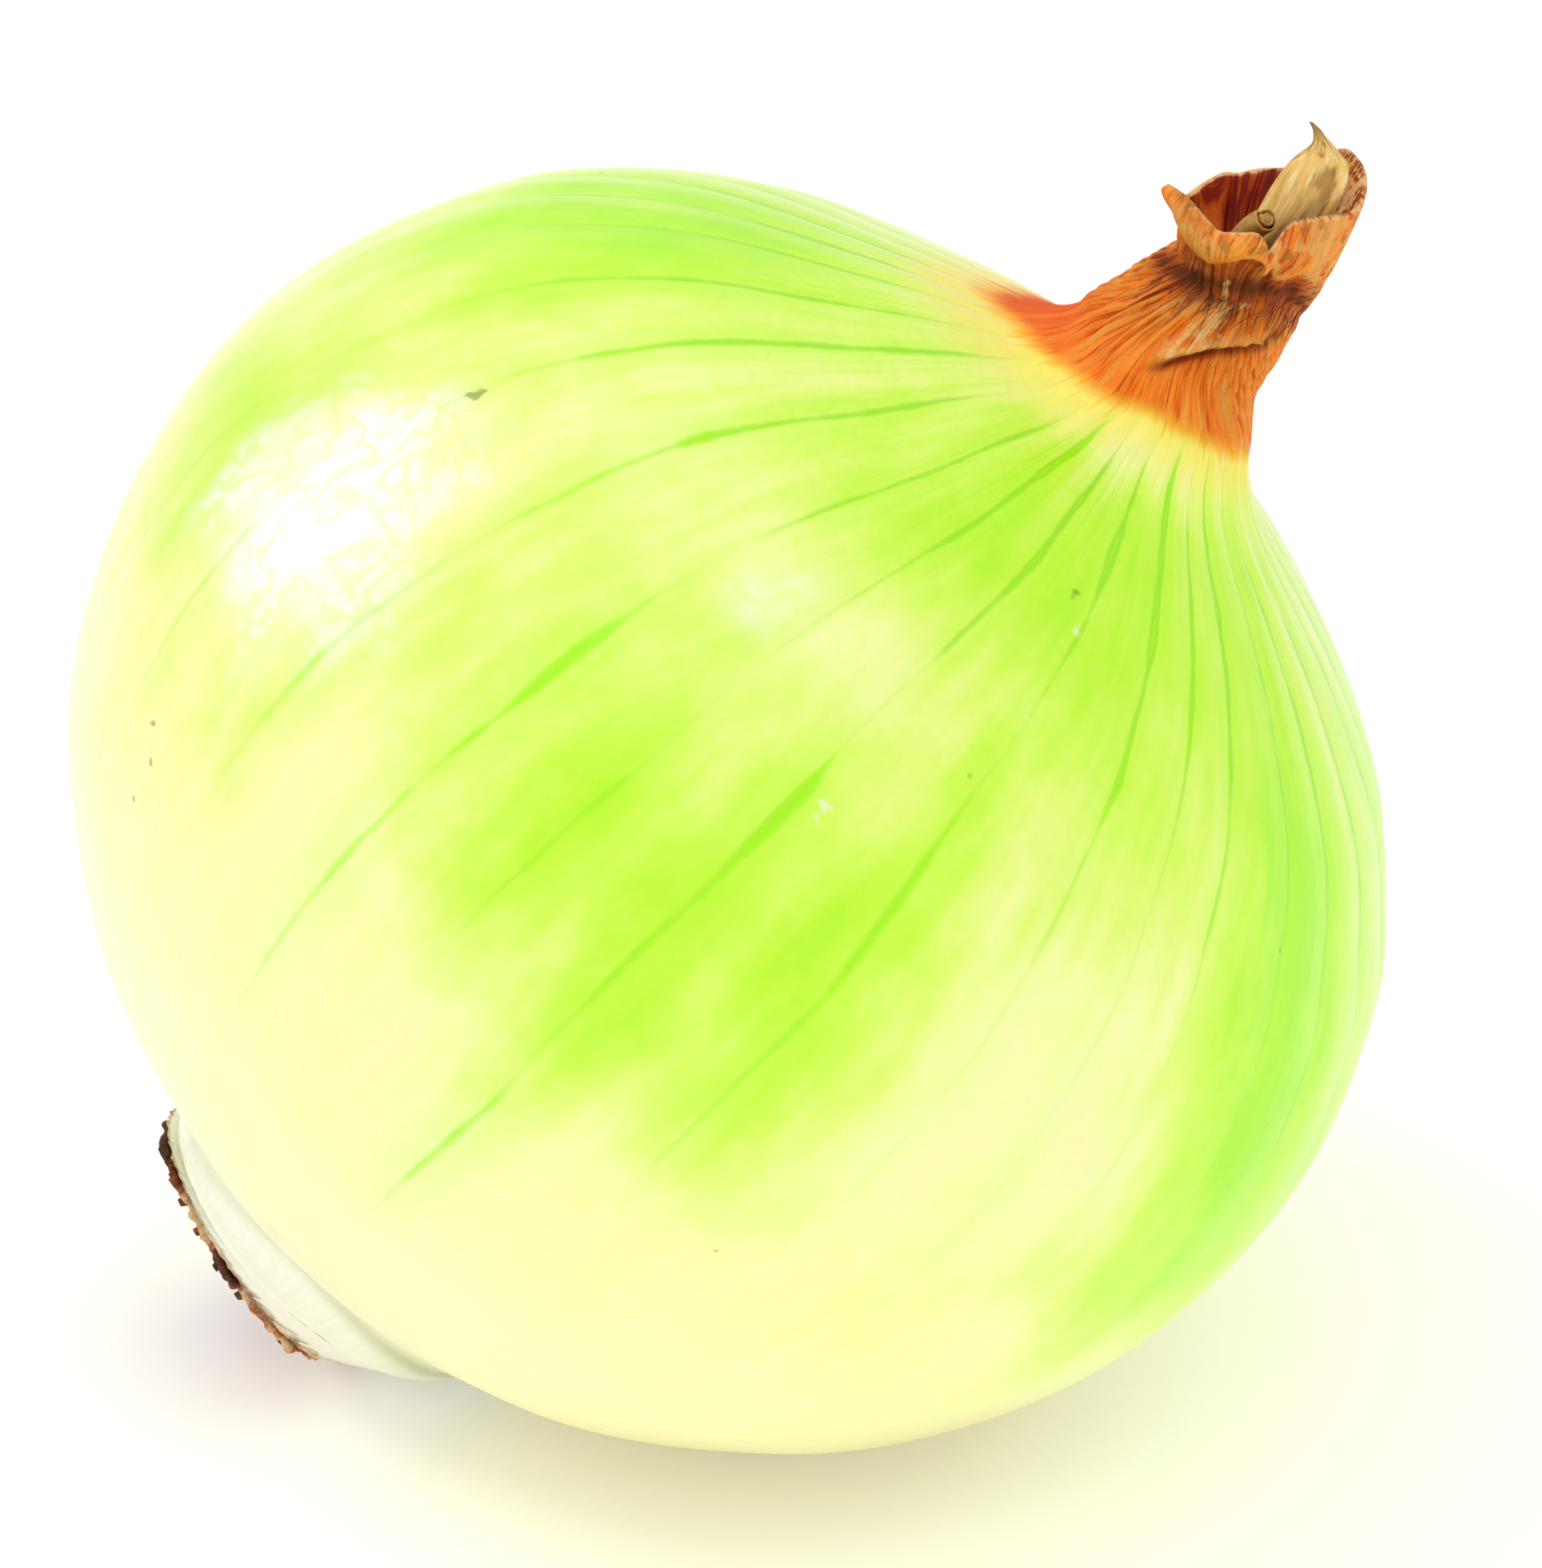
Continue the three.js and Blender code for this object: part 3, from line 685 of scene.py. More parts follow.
@dataclass(frozen=True)
class ScaleFinish:
    """The outer scale: cream at the root, lime green with darker veins, orange and dry at the neck.

    Attributes:
        relief_depth: The depth of its finest relief, in metres.
        moist: The roughness of the fresh skin.
        uneven_gloss: How far that roughness swings.
        specular: How strongly it mirrors.
        coat: The weight of the moist coat over the fresh skin.
        coat_roughness: That coat's roughness.
    """

    cream: Colour = shade(252, 248, 188)
    pale: Colour = shade(248, 255, 164)
    lime: Colour = shade(234, 255, 126)
    green: Colour = shade(214, 255, 84)
    deep_green: Colour = shade(196, 254, 50)
    darkest: Colour = shade(178, 250, 26)
    vein: Colour = shade(172, 248, 16)
    vein_dark: Colour = shade(126, 212, 6)
    yellow: Colour = shade(252, 240, 104)
    amber: Colour = shade(255, 178, 20)
    orange: Colour = shade(255, 126, 14)
    glow: Colour = shade(255, 156, 48)
    rust: Colour = shade(168, 62, 4)
    # Dark crease lines in the dry skin, and the painted shade in the neck's furrow.
    crease: Colour = shade(120, 28, 0)
    tan: Colour = shade(240, 176, 88)
    # Painted shade under the petal's fold, over the dry skin's own dark brown.
    fold: Colour = shade(98, 44, 0)
    russet: Colour = shade(222, 78, 8)
    olive: Colour = shade(176, 112, 40)
    lining_dark: Colour = shade(100, 10, 0)
    lining: Colour = shade(150, 36, 0)
    lining_streak: Colour = shade(216, 100, 10)
    torn: Colour = shade(250, 204, 140)
    ruddy: Colour = shade(240, 96, 20)
    umber: Colour = shade(150, 78, 34)
    # A painted highlight on the bulb's left.
    painted_highlight: Colour = shade(255, 255, 246)
    # Painted shade where the bulb turns toward the floor.
    painted_underside_shade: Colour = shade(232, 222, 138)
    speck: Colour = shade(122, 120, 36)
    scar: Colour = shade(248, 246, 206)
    stub: Colour = shade(252, 251, 230)
    stub_shade: Colour = shade(242, 244, 216)
    crease_shade: Colour = shade(190, 194, 134)
    relief_depth: float = 0.0003
    moist: float = 0.33
    uneven_gloss: float = 0.1
    specular: float = 0.25
    coat: float = 0.35
    coat_roughness: float = 0.2

    def flesh(self) -> bpy.types.Material:
        """The finish below the neck, without the painted highlight or the single specks and scars."""
        return self._below_the_neck(Painter("outer_scale_flesh"), highlighted_or_marked=False)

    def highlighted_or_marked_flesh(self) -> bpy.types.Material:
        """The same finish with the painted highlight, a pale crinkled patch, and the single specks and
        scars.
        """
        return self._below_the_neck(Painter("outer_scale_highlighted_or_marked_flesh"), highlighted_or_marked=True)

    def _below_the_neck(self, paint: Painter, highlighted_or_marked: bool) -> bpy.types.Material:
        """The flesh's finish, with or without its painted highlight and its single marks."""
        pattern = FleshPattern(paint)
        skin, ink = self._fresh(paint, pattern, highlighted_or_marked)
        return paint.finish(
            Base_Color=paint.blend(ink, skin, self.vein),
            Roughness=self.moist + pattern.cloud.swing(self.uneven_gloss),
            Normal=paint.relief(pattern.crinkles(), self.relief_depth),
            Specular_IOR_Level=self.specular,
            Coat_Weight=self.coat,
            Coat_Roughness=self.coat_roughness,
        )

    def neck(self) -> bpy.types.Material:
        """The finish by the neck: the same flesh, and how it dries."""
        paint = Painter("outer_scale_neck")
        pattern = FleshPattern(paint)
        neck = NeckPattern(paint, pattern)
        skin = self._meeting(paint, neck, *self._fresh(paint, pattern, highlighted_or_marked=True))
        skin = self._petal(paint, neck, skin)
        skin = self._folded(paint, neck, skin)
        skin = self._inside_the_mouth(paint, neck, skin)
        on_neck = neck.above.step(-0.6, 0.8)
        pleats = neck.streak * 0.6 + neck.main * 0.6
        height = on_neck * pleats + (1.0 - on_neck) * pattern.crinkles()
        dryness = neck.edge.step(-0.6, 0.8)
        return paint.finish(
            Base_Color=skin,
            Roughness=self.moist + dryness * 0.3 + pattern.cloud.swing(self.uneven_gloss),
            Normal=paint.relief(height, self.relief_depth),
            Specular_IOR_Level=self.specular,
            Coat_Weight=(1.0 - dryness) * self.coat,
            Coat_Roughness=self.coat_roughness,
        )

    def _fresh(
        self, paint: Painter, pattern: FleshPattern, highlighted_or_marked: bool,
    ) -> tuple[Value, Value]:
        """The fresh skin's colour, and where its veins' ink lies.

        Args:
            paint: The material that they are for.
            pattern: Its attributes and noises.
            highlighted_or_marked: Whether the painted highlight and the single specks and scars show.
        """
        strength, core, halo = pattern.veins()
        skin = self._veined(paint, pattern, self._flushed(paint, pattern), strength, core, halo)
        if highlighted_or_marked:
            skin = self._with_painted_highlight(paint, pattern, skin)
        skin = paint.layered(
            skin,
            # Painted shade: duller where the skin faces the floor.
            (paint.own("under") * 0.75, self.painted_underside_shade),
            (paint.specks(pattern.place, 75.0, 0.02) * 0.3, self.speck),
        )
        if highlighted_or_marked:
            skin = self._marked(paint, pattern, skin)
        return self._by_the_root(paint, pattern, skin), core * strength

    def _flushed(self, paint: Painter, pattern: FleshPattern) -> Value:
        """The flush of green, from cream to the darkest green, uneven as it is."""
        flush = paint.own("flush")
        uneven = pattern.fibre.swing(0.45) + pattern.cloud.swing(0.5)
        uneven = uneven + pattern.haze.swing(0.6) + pattern.grainy.swing(0.12)
        return paint.scale(flush + uneven * flush.step(-0.1, 0.4), [
            (0.0, self.cream), (0.25, self.pale), (0.45, self.lime), (0.65, self.green),
            (0.85, self.deep_green), (1.0, self.darkest),
        ])

    def _veined(
        self, paint: Painter, pattern: FleshPattern, skin: Value,
        strength: Value, core: Value, halo: Value,
    ) -> Value:
        """The skin with its veins: a soft halo, a darker core, and threads close to the neck."""
        ink = paint.blend(pattern.above.step(-18.0, -4.0), self.vein, self.vein_dark)
        thread = paint.mottle(paint.ring(10.0, 0.05), 1.0, 3.0, 0.6).step(0.56, 0.66)
        return paint.layered(
            skin,
            (halo * (0.25 * pattern.vein + 0.45 * strength), self.deep_green),
            (core * (0.1 + strength) * pattern.vein.step(0.02, 0.2) * 1.25, ink),
            (thread * pattern.above.step(-12.0, -2.0) * 0.4, self.vein),
        )

    def _with_painted_highlight(self, paint: Painter, pattern: FleshPattern, skin: Value) -> Value:
        """The skin with its painted highlight: a pale crinkled patch."""
        crinkled = paint.mottle(paint.wandering(pattern.place, 200.0, 0.003), 340.0, 2.0, 0.5)
        crackle = crinkled.swing(1.0).distance().step(0.0, 0.07)
        painted_light_weight = paint.own("painted_highlight")
        painted_highlight = (painted_light_weight * 1.3 + pattern.cloud.swing(1.8) + pattern.haze.swing(1.0)).step(0.25, 1.2)
        painted_highlight = painted_highlight * painted_light_weight.step(0.03, 0.3)
        return paint.layered(skin, (painted_highlight * (0.45 + 0.55 * crackle), self.painted_highlight))

    def _marked(self, paint: Painter, pattern: FleshPattern, skin: Value) -> Value:
        """The skin with its single dark specks and pale scars."""
        rough_place = paint.wandering(pattern.place, 1100.0, 0.0015)
        chipped = pattern.grainy.step(0.42, 0.6) * 0.75
        return paint.layered(
            skin,
            (paint.spots(rough_place, SPECKS) * 0.65, self.speck),
            (paint.spots(rough_place, SCARS) * chipped, self.scar),
        )

    def _by_the_root(self, paint: Painter, pattern: FleshPattern, skin: Value) -> Value:
        """The skin with the pale band and the shaded crease beside the root's stub."""
        flank = paint.blend(pattern.fibre.step(0.4, 0.65) * 0.5, self.stub, self.stub_shade)
        return paint.layered(
            skin, (paint.own("stub"), flank), (paint.own("painted_stub_crease_shade") * 0.9, self.crease_shade),
        )

    def _dry(self, paint: Painter, pattern: NeckPattern) -> Value:
        """The dried neck's own colour, with its creases."""
        streak, main, blotch = pattern.streak, pattern.main, pattern.blotch
        drawn = pattern.edge.step(0.5, 4.0)
        straw = paint.scale((streak * 0.6 + main * 0.5 - 0.05).step(0.3, 0.75), [
            (0.0, self.rust), (0.28, self.orange), (0.6, self.glow), (1.0, self.tan),
        ])
        return paint.layered(
            straw,
            ((paint.own("ruddy") * (0.5 + pattern.drift)).held() * 0.8, self.ruddy),
            (pattern.thin * drawn * (0.25 + 0.5 * blotch), self.rust),
            # Dark crease lines, made darker by painted shade near the fold.
            (main.step(0.47, 0.36) * drawn * (0.2 + 0.9 * paint.own("near_fold_shade")), self.crease),
            (pattern.above.step(3.0, 7.0) * blotch.step(0.45, 0.62) * 0.6, self.tan),
        )

    def _meeting(self, paint: Painter, pattern: NeckPattern, skin: Value, ink: Value) -> Value:
        """The flesh turning yellow and amber, then dry, where the neck starts."""
        edge = pattern.edge
        return paint.layered(
            skin,
            (edge.step(-3.2, -0.6), self.yellow),
            (ink * edge.step(-0.2, -1.2), self.vein),
            (pattern.thin * edge.step(-1.5, 0.0) * 0.4, self.amber),
            (edge.step(-0.75, 0.1), self.amber),
            (edge.step(-0.15, 0.6), self._dry(paint, pattern)),
            (paint.own("outline") * edge.step(-0.2, 0.5) * 0.6, self.russet),
        )

    def _petal(self, paint: Painter, pattern: NeckPattern, skin: Value) -> Value:
        """The mottled petal that folds over the neck, and the crease below it, with painted shade in its
        furrow and a painted highlight on its ridge.
        """
        petal = paint.own("petal")
        return paint.layered(
            skin,
            (petal * pattern.flecked.step(0.46, 0.58) * 0.8, self.tan),
            (petal * pattern.flecked.step(0.44, 0.34) * 0.7, self.olive),
            (petal * pattern.streak.step(0.6, 0.72) * 0.6, self.torn),
            # Painted highlight on the ridge over the neck's crease, and painted shade in its furrow.
            (paint.own("neck_ridge_highlight") * (0.3 + pattern.blotch) * 0.8, self.tan),
            (paint.own("neck_furrow_shade") * (0.55 + 0.5 * pattern.streak), self.crease),
        )

    def _folded(self, paint: Painter, pattern: NeckPattern, skin: Value) -> Value:
        """The painted shade of the frayed fold under the petal, over the dry skin's own darker brown,
        and the flaked strips below it.
        """
        streak = pattern.streak
        fold = paint.own("fold")
        ragged = streak.swing(1.5) + pattern.flecked.swing(0.8)
        frayed = fold * 1.05 + ragged * fold.step(0.02, 0.3)
        strip = paint.own("flake")
        shreds = paint.mottle(pattern.place, 2300.0, 3.0, 0.6)
        flake = (strip * 1.2 + shreds.swing(2.2) + streak.swing(2.0)).step(0.35, 1.1)
        fibres = paint.blend(streak.step(0.4, 0.6), self.tan, self.torn)
        return paint.layered(
            skin,
            # The frayed band of painted shade under the fold: rust at its edge, darkest in its middle.
            (frayed.step(0.12, 0.8) * 0.85, self.rust),
            (frayed.step(0.6, 1.0) * 0.9, self.fold),
            (flake * strip.step(0.05, 0.4) * 0.9, fibres),
        )

    def _inside_the_mouth(self, paint: Painter, pattern: NeckPattern, skin: Value) -> Value:
        """The mouth's lining, its withered right wall and its torn rim."""
        streak, flecked = pattern.streak, pattern.flecked
        inside = paint.own("inside")
        lining = paint.scale(streak.step(0.3, 0.72), [
            (0.0, self.lining_dark), (0.5, self.lining), (1.0, self.lining_streak),
        ])
        withered = paint.scale((flecked * 0.7 + streak * 0.4).step(0.3, 0.8), [
            (0.15, self.umber), (0.42, self.rust), (0.52, self.tan), (0.66, self.torn),
            (0.84, self.umber),
        ])
        torn = (paint.own("edge") * 1.3 + streak.swing(1.5) + flecked.swing(1.5)).step(1.0, 1.4)
        return paint.layered(
            skin, (inside, lining), (paint.own("withered") * inside, withered), (torn * 0.7, self.torn),
        )


@dataclass(frozen=True)
class LeafFinish:
    """A dry leaf in the mouth: a base colour with paler fibres, darker creases and painted shadow deep
    in the mouth.

    Attributes:
        name: The material's name.
        base: The leaf's own colour.
        pale: The fibres' colour.
        dark: The creases' colour.
        shadow: The painted shadow's colour, deep in the mouth.
        fibre_scale: How many fibres fit in its width.
    """

    name: str
    base: Colour
    pale: Colour
    dark: Colour
    shadow: Colour
    fibre_scale: float

    def material(self) -> bpy.types.Material:
        """The finish as a material."""
        paint = Painter(self.name)
        around, along = paint.grain()
        lie = paint.point(around * self.fibre_scale, along * 0.13)
        fibre = paint.mottle(paint.wandering(lie, 1.2, 0.35), 2.0, 5.0, 0.65)
        broad_lie = paint.point(around * self.fibre_scale * 0.45, along * 0.1, 3.7)
        broad = paint.mottle(broad_lie, 2.0, 3.0, 0.6)
        patch = paint.mottle(paint.place(), 270.0, 3.0)
        colour = paint.layered(
            self.base,
            (fibre.step(0.46, 0.7), self.pale),
            (broad.step(0.5, 0.36) * 0.7 + fibre.step(0.42, 0.3) * 0.5, self.dark),
            (patch.step(0.52, 0.75) * 0.3, self.dark),
            # Painted shadow, deep in the mouth.
            (paint.own("shadow"), self.shadow),
        )
        return paint.finish(
            Base_Color=colour,
            Roughness=0.5 + fibre * 0.25,
            Normal=paint.relief(fibre, 0.00015),
        )


@dataclass(frozen=True)
class PlateFinish:
    """The cream stub of stem, with a grey-green cast and a torn tan edge at its rim."""

    cream: Colour = shade(253, 250, 232)
    grey_green: Colour = shade(234, 234, 206)
    torn: Colour = shade(206, 170, 116)
    pink: Colour = shade(238, 212, 186)
    brown: Colour = shade(118, 66, 34)

    def material(self) -> bpy.types.Material:
        """The finish as a material."""
        paint = Painter("root_plate_skin")
        around, along = paint.grain()
        fibre = paint.mottle(paint.point(around * 26.0, along * 0.25), 3.0, 4.0, 0.6)
        cloud = paint.mottle(paint.place(), 130.0, 3.0)
        blotch = paint.mottle(paint.place(), 420.0, 4.0, 0.7)
        rim = paint.own("rim")
        torn = paint.scale(blotch, [
            (0.38, self.brown), (0.47, self.torn), (0.56, self.pink), (0.66, self.cream),
        ])
        colour = paint.layered(
            self.cream,
            (fibre * 0.5 + cloud.step(0.4, 0.7) * 0.6, self.grey_green),
            (rim.step(0.3, 0.8) * 0.9, torn),
            (rim.step(0.25, 0.5) * rim.step(0.75, 0.5) * 0.6, self.torn),
        )
        return paint.finish(
            Base_Color=colour,
            Roughness=0.5 + cloud * 0.15,
            Normal=paint.relief(fibre * 0.6 + blotch * rim, 0.0002),
        )


@dataclass(frozen=True)
class RootFinish:
    """Dried tissue, from its dark to its pale: the root's crust, and the hairs on the neck."""

    name: str = "root_crust_bark"
    dark: Colour = shade(46, 22, 12)
    brown: Colour = shade(116, 60, 30)
    russet: Colour = shade(176, 96, 40)
    tan: Colour = shade(226, 190, 138)

    def material(self) -> bpy.types.Material:
        """The finish as a material."""
        paint = Painter(self.name)
        place = paint.place()
        patch = paint.mottle(place, 520.0, 4.0, 0.6)
        fine = paint.mottle(place, 2600.0, 3.0, 0.6)
        tint = paint.own("tint")
        colour = paint.scale(patch * 0.75 + fine * 0.3 + (tint - 0.35) * 0.3, [
            (0.36, self.dark), (0.5, self.brown), (0.62, self.russet), (0.74, self.tan),
        ])
        return paint.finish(
            Base_Color=colour,
            Roughness=0.72 + fine * 0.15,
            Normal=paint.relief(fine + patch, 0.0002),
        )


def even_rows(points: np.ndarray, step: float) -> np.ndarray:
    """The distance along the grain of each point of a grid whose rows lie a step apart."""
    return np.broadcast_to(np.arange(len(points))[:, None] * step, points.shape[:2])


class Facing(Enum):
    """Which way round a grid's faces are wound."""

    OUT = 1
    BACK = -1


Faces = list[tuple[int, ...]]
Grain = list[list[tuple[float, float]]]


@dataclass
class Surface:
    """Closed rings of points, row by row, that become a mesh with a point at each end.

    Attributes:
        points: Rows by columns by three, about the onion's axis, in millimetres.
        around: Each column's grain number, with one more at the end for the seam.
        along: Each point's distance along the grain.
        foot: The point that closes the first row.
        top: The point that closes the last row.
        tones: The piece's own attributes, one number for each point.
        ring: A place round a cylinder for each point, in which noise has no seam.
        facing: The winding of its faces.
    """

    points: np.ndarray
    around: np.ndarray
    along: np.ndarray
    foot: np.ndarray
    top: np.ndarray
    tones: dict[str, np.ndarray]
    ring: Optional[np.ndarray] = None
    facing: Facing = Facing.OUT

    def mesh(self, name: str) -> bpy.types.Object:
        """The grid as a mesh object, where it lies.

        Args:
            name: The object's name.

        Returns:
            The object, at the origin, with its place in its mesh.
        """
        rows, columns = self.points.shape[:2]
        vertices = np.vstack([self.points.reshape(-1, 3), self.foot, self.top])
        faces, grain = self._quads(rows, columns)
        for pole, row in ((rows * columns, 0), (rows * columns + 1, rows - 1)):
            fan, fan_grain = self._fan(row, columns, pole)
            faces += fan
            grain += fan_grain
        if self.facing is Facing.BACK:
            faces = [face[::-1] for face in faces]
            grain = [corner[::-1] for corner in grain]
        data = bpy.data.meshes.new(name)
        data.from_pydata(AXES.to_row(vertices).tolist(), [], faces)
        corners = np.array([pair for corner in grain for pair in corner], np.float32)
        data.uv_layers.new(name="grain").data.foreach_set("uv", corners.ravel())
        for tone, numbers in self.tones.items():
            layer = data.attributes.new(tone, "FLOAT", "POINT")
            layer.data.foreach_set("value", self._spread(numbers))
        if self.ring is not None:
            layer = data.attributes.new("ring", "FLOAT_VECTOR", "POINT")
            layer.data.foreach_set("vector", self._spread(self.ring))
        data.shade_smooth()
        return add_object(name, data)

    @staticmethod
    def _spread(numbers: np.ndarray) -> np.ndarray:
        """A grid's numbers in the order of the vertices, with each end's row's mean at its point."""
        flat = numbers.reshape(numbers.shape[0] * numbers.shape[1], -1)
        means = [numbers[row].mean(axis=0).reshape(1, -1) for row in (0, -1)]
        return np.vstack([flat, *means]).astype(np.float32).ravel()

    def _quads(self, rows: int, columns: int) -> tuple[Faces, Grain]:
        """The grid's faces, with each corner's grain."""
        faces, grain = [], []
        for i in range(rows - 1):
            low, high = i * columns, (i + 1) * columns
            for j in range(columns):
                k = (j + 1) % columns
                faces.append((low + j, low + k, high + k, high + j))
                grain.append([
                    (self.around[j], self.along[i, j]),
                    (self.around[j + 1], self.along[i, k]),
                    (self.around[j + 1], self.along[i + 1, k]),
                    (self.around[j], self.along[i + 1, j]),
                ])
        return faces, grain

    def _fan(self, row: int, columns: int, pole: int) -> tuple[Faces, Grain]:
        """Triangles from a pole to a row, with each corner's grain."""
        faces, grain = [], []
        for j in range(columns):
            k = (j + 1) % columns
            corners = [
                (row * columns + j, (self.around[j], self.along[row, j])),
                (row * columns + k, (self.around[j + 1], self.along[row, k])),
                (pole, (self.around[j], self.along[row, j])),
            ]
            if row == 0:
                corners = [corners[1], corners[0], corners[2]]
            faces.append(tuple(index for index, _ in corners))
            grain.append([pair for _, pair in corners])
        return faces, grain


def dress(
    piece: bpy.types.Object, material: bpy.types.Material, slot: str, *nodes: str,
) -> bpy.types.Object:
    """Gives a piece its material and says what it stands for.

    Args:
        piece: The finished piece.
        material: Its material.
        slot: The record's material slot it takes its finish from. It is not used.
        nodes: The solids that it replaces.

    Returns:
        The piece.
    """
    piece.data.materials.clear()
    piece.data.materials.append(material)
    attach(piece, "root")
    if nodes:
        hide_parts(*nodes)
    stands_for = ", ".join(nodes) or "detail"
    LOG.info("%s: %d faces, for %s", piece.name, len(piece.data.polygons), stands_for)
    return piece


@dataclass(frozen=True)
class VeinStreak:
    """A stretch of one vein that shows dark.

    Attributes:
        azimuth: The vein's azimuth, in degrees.
        top: The height at which it ends, in millimetres.
        bottom: The height at which it starts.
        strength: How dark it is, 0 to 1.
        half_width: How far it reaches to each side, in degrees.
    """

    azimuth: float
    top: float
    bottom: float
    strength: float
    half_width: float = 4.5

    def at(self, azimuth: np.ndarray, height: np.ndarray) -> np.ndarray:
        """How dark the stretch is.

        Args:
            azimuth: Each column's azimuth, in degrees.
            height: Each point's height, in millimetres.

        Returns:
            One number for each point.
        """
        beside = np.abs(turned(azimuth, self.azimuth)) < self.half_width
        length = self.top - self.bottom
        along = smoothstep(height, self.bottom - 3.0, self.bottom + 0.75 * length)
        along = along * (1.0 - smoothstep(height, self.top - 1.0, self.top + 2.5))
        return self.strength * along * beside[None, :]


@dataclass(frozen=True)
class FlushPatch:
    """A soft patch of green, or of pale where its amount is negative.

    Attributes:
        bearing: The bearing of its middle, in degrees.
        half_width: In degrees.
        low: The height of its foot, in millimetres.
        high: The height of its top.
        amount: How much greener it is.
        softness: How far its foot and top fade, as a share of its height.
    """

    bearing: float
    half_width: float
    low: float
    high: float
    amount: float
    softness: float = 0.42

    def at(self, bearing: np.ndarray, height: np.ndarray) -> np.ndarray:
        """How much of the patch lies at each place.

        Args:
            bearing: In degrees.
            height: In millimetres.

        Returns:
            Its amount there.
        """
        across = np.abs(turned(bearing, self.bearing))
        beside = 1.0 - smoothstep(across, 0.35 * self.half_width, 1.5 * self.half_width)
        edge = self.softness * (min(self.high, 36.0) - self.low)
        over_foot = smoothstep(height, self.low - edge, self.low + edge)
        over_top = smoothstep(height, self.high - edge, self.high + edge)
        return self.amount * beside * over_foot * (1.0 - over_top)


@dataclass(frozen=True)
class Flake:
    """A strip of torn, paler skin.

    Attributes:
        line: The bearings and heights that it runs along.
        half_width: In millimetres.
        amount: How strongly it shows.
    """

    line: Line
    half_width: float
    amount: float

    def at(self, bearing: np.ndarray, height: np.ndarray, girth: np.ndarray) -> np.ndarray:
        """How much of the strip lies at each place.

        Args:
            bearing: In degrees.
            height: In millimetres.
            girth: How far each place is from the onion's axis, in millimetres.

        Returns:
            Its amount on its line, falling to 0 past its edge.
        """
        nearest = np.full(height.shape, np.inf)
        for (start, low), (end, high) in zip(self.line[:-1], self.line[1:]):
            across = np.radians(turned(bearing, start)) * girth
            climb = height - low
            run = math.radians(end - start) * girth
            rise = high - low
            share = np.clip((across * run + climb * rise) / (run ** 2 + rise ** 2), 0.0, 1.0)
            nearest = np.minimum(nearest, np.hypot(across - share * run, climb - share * rise))
        beyond = smoothstep(nearest, 0.35 * self.half_width, 1.4 * self.half_width)
        return self.amount * (1.0 - beyond)


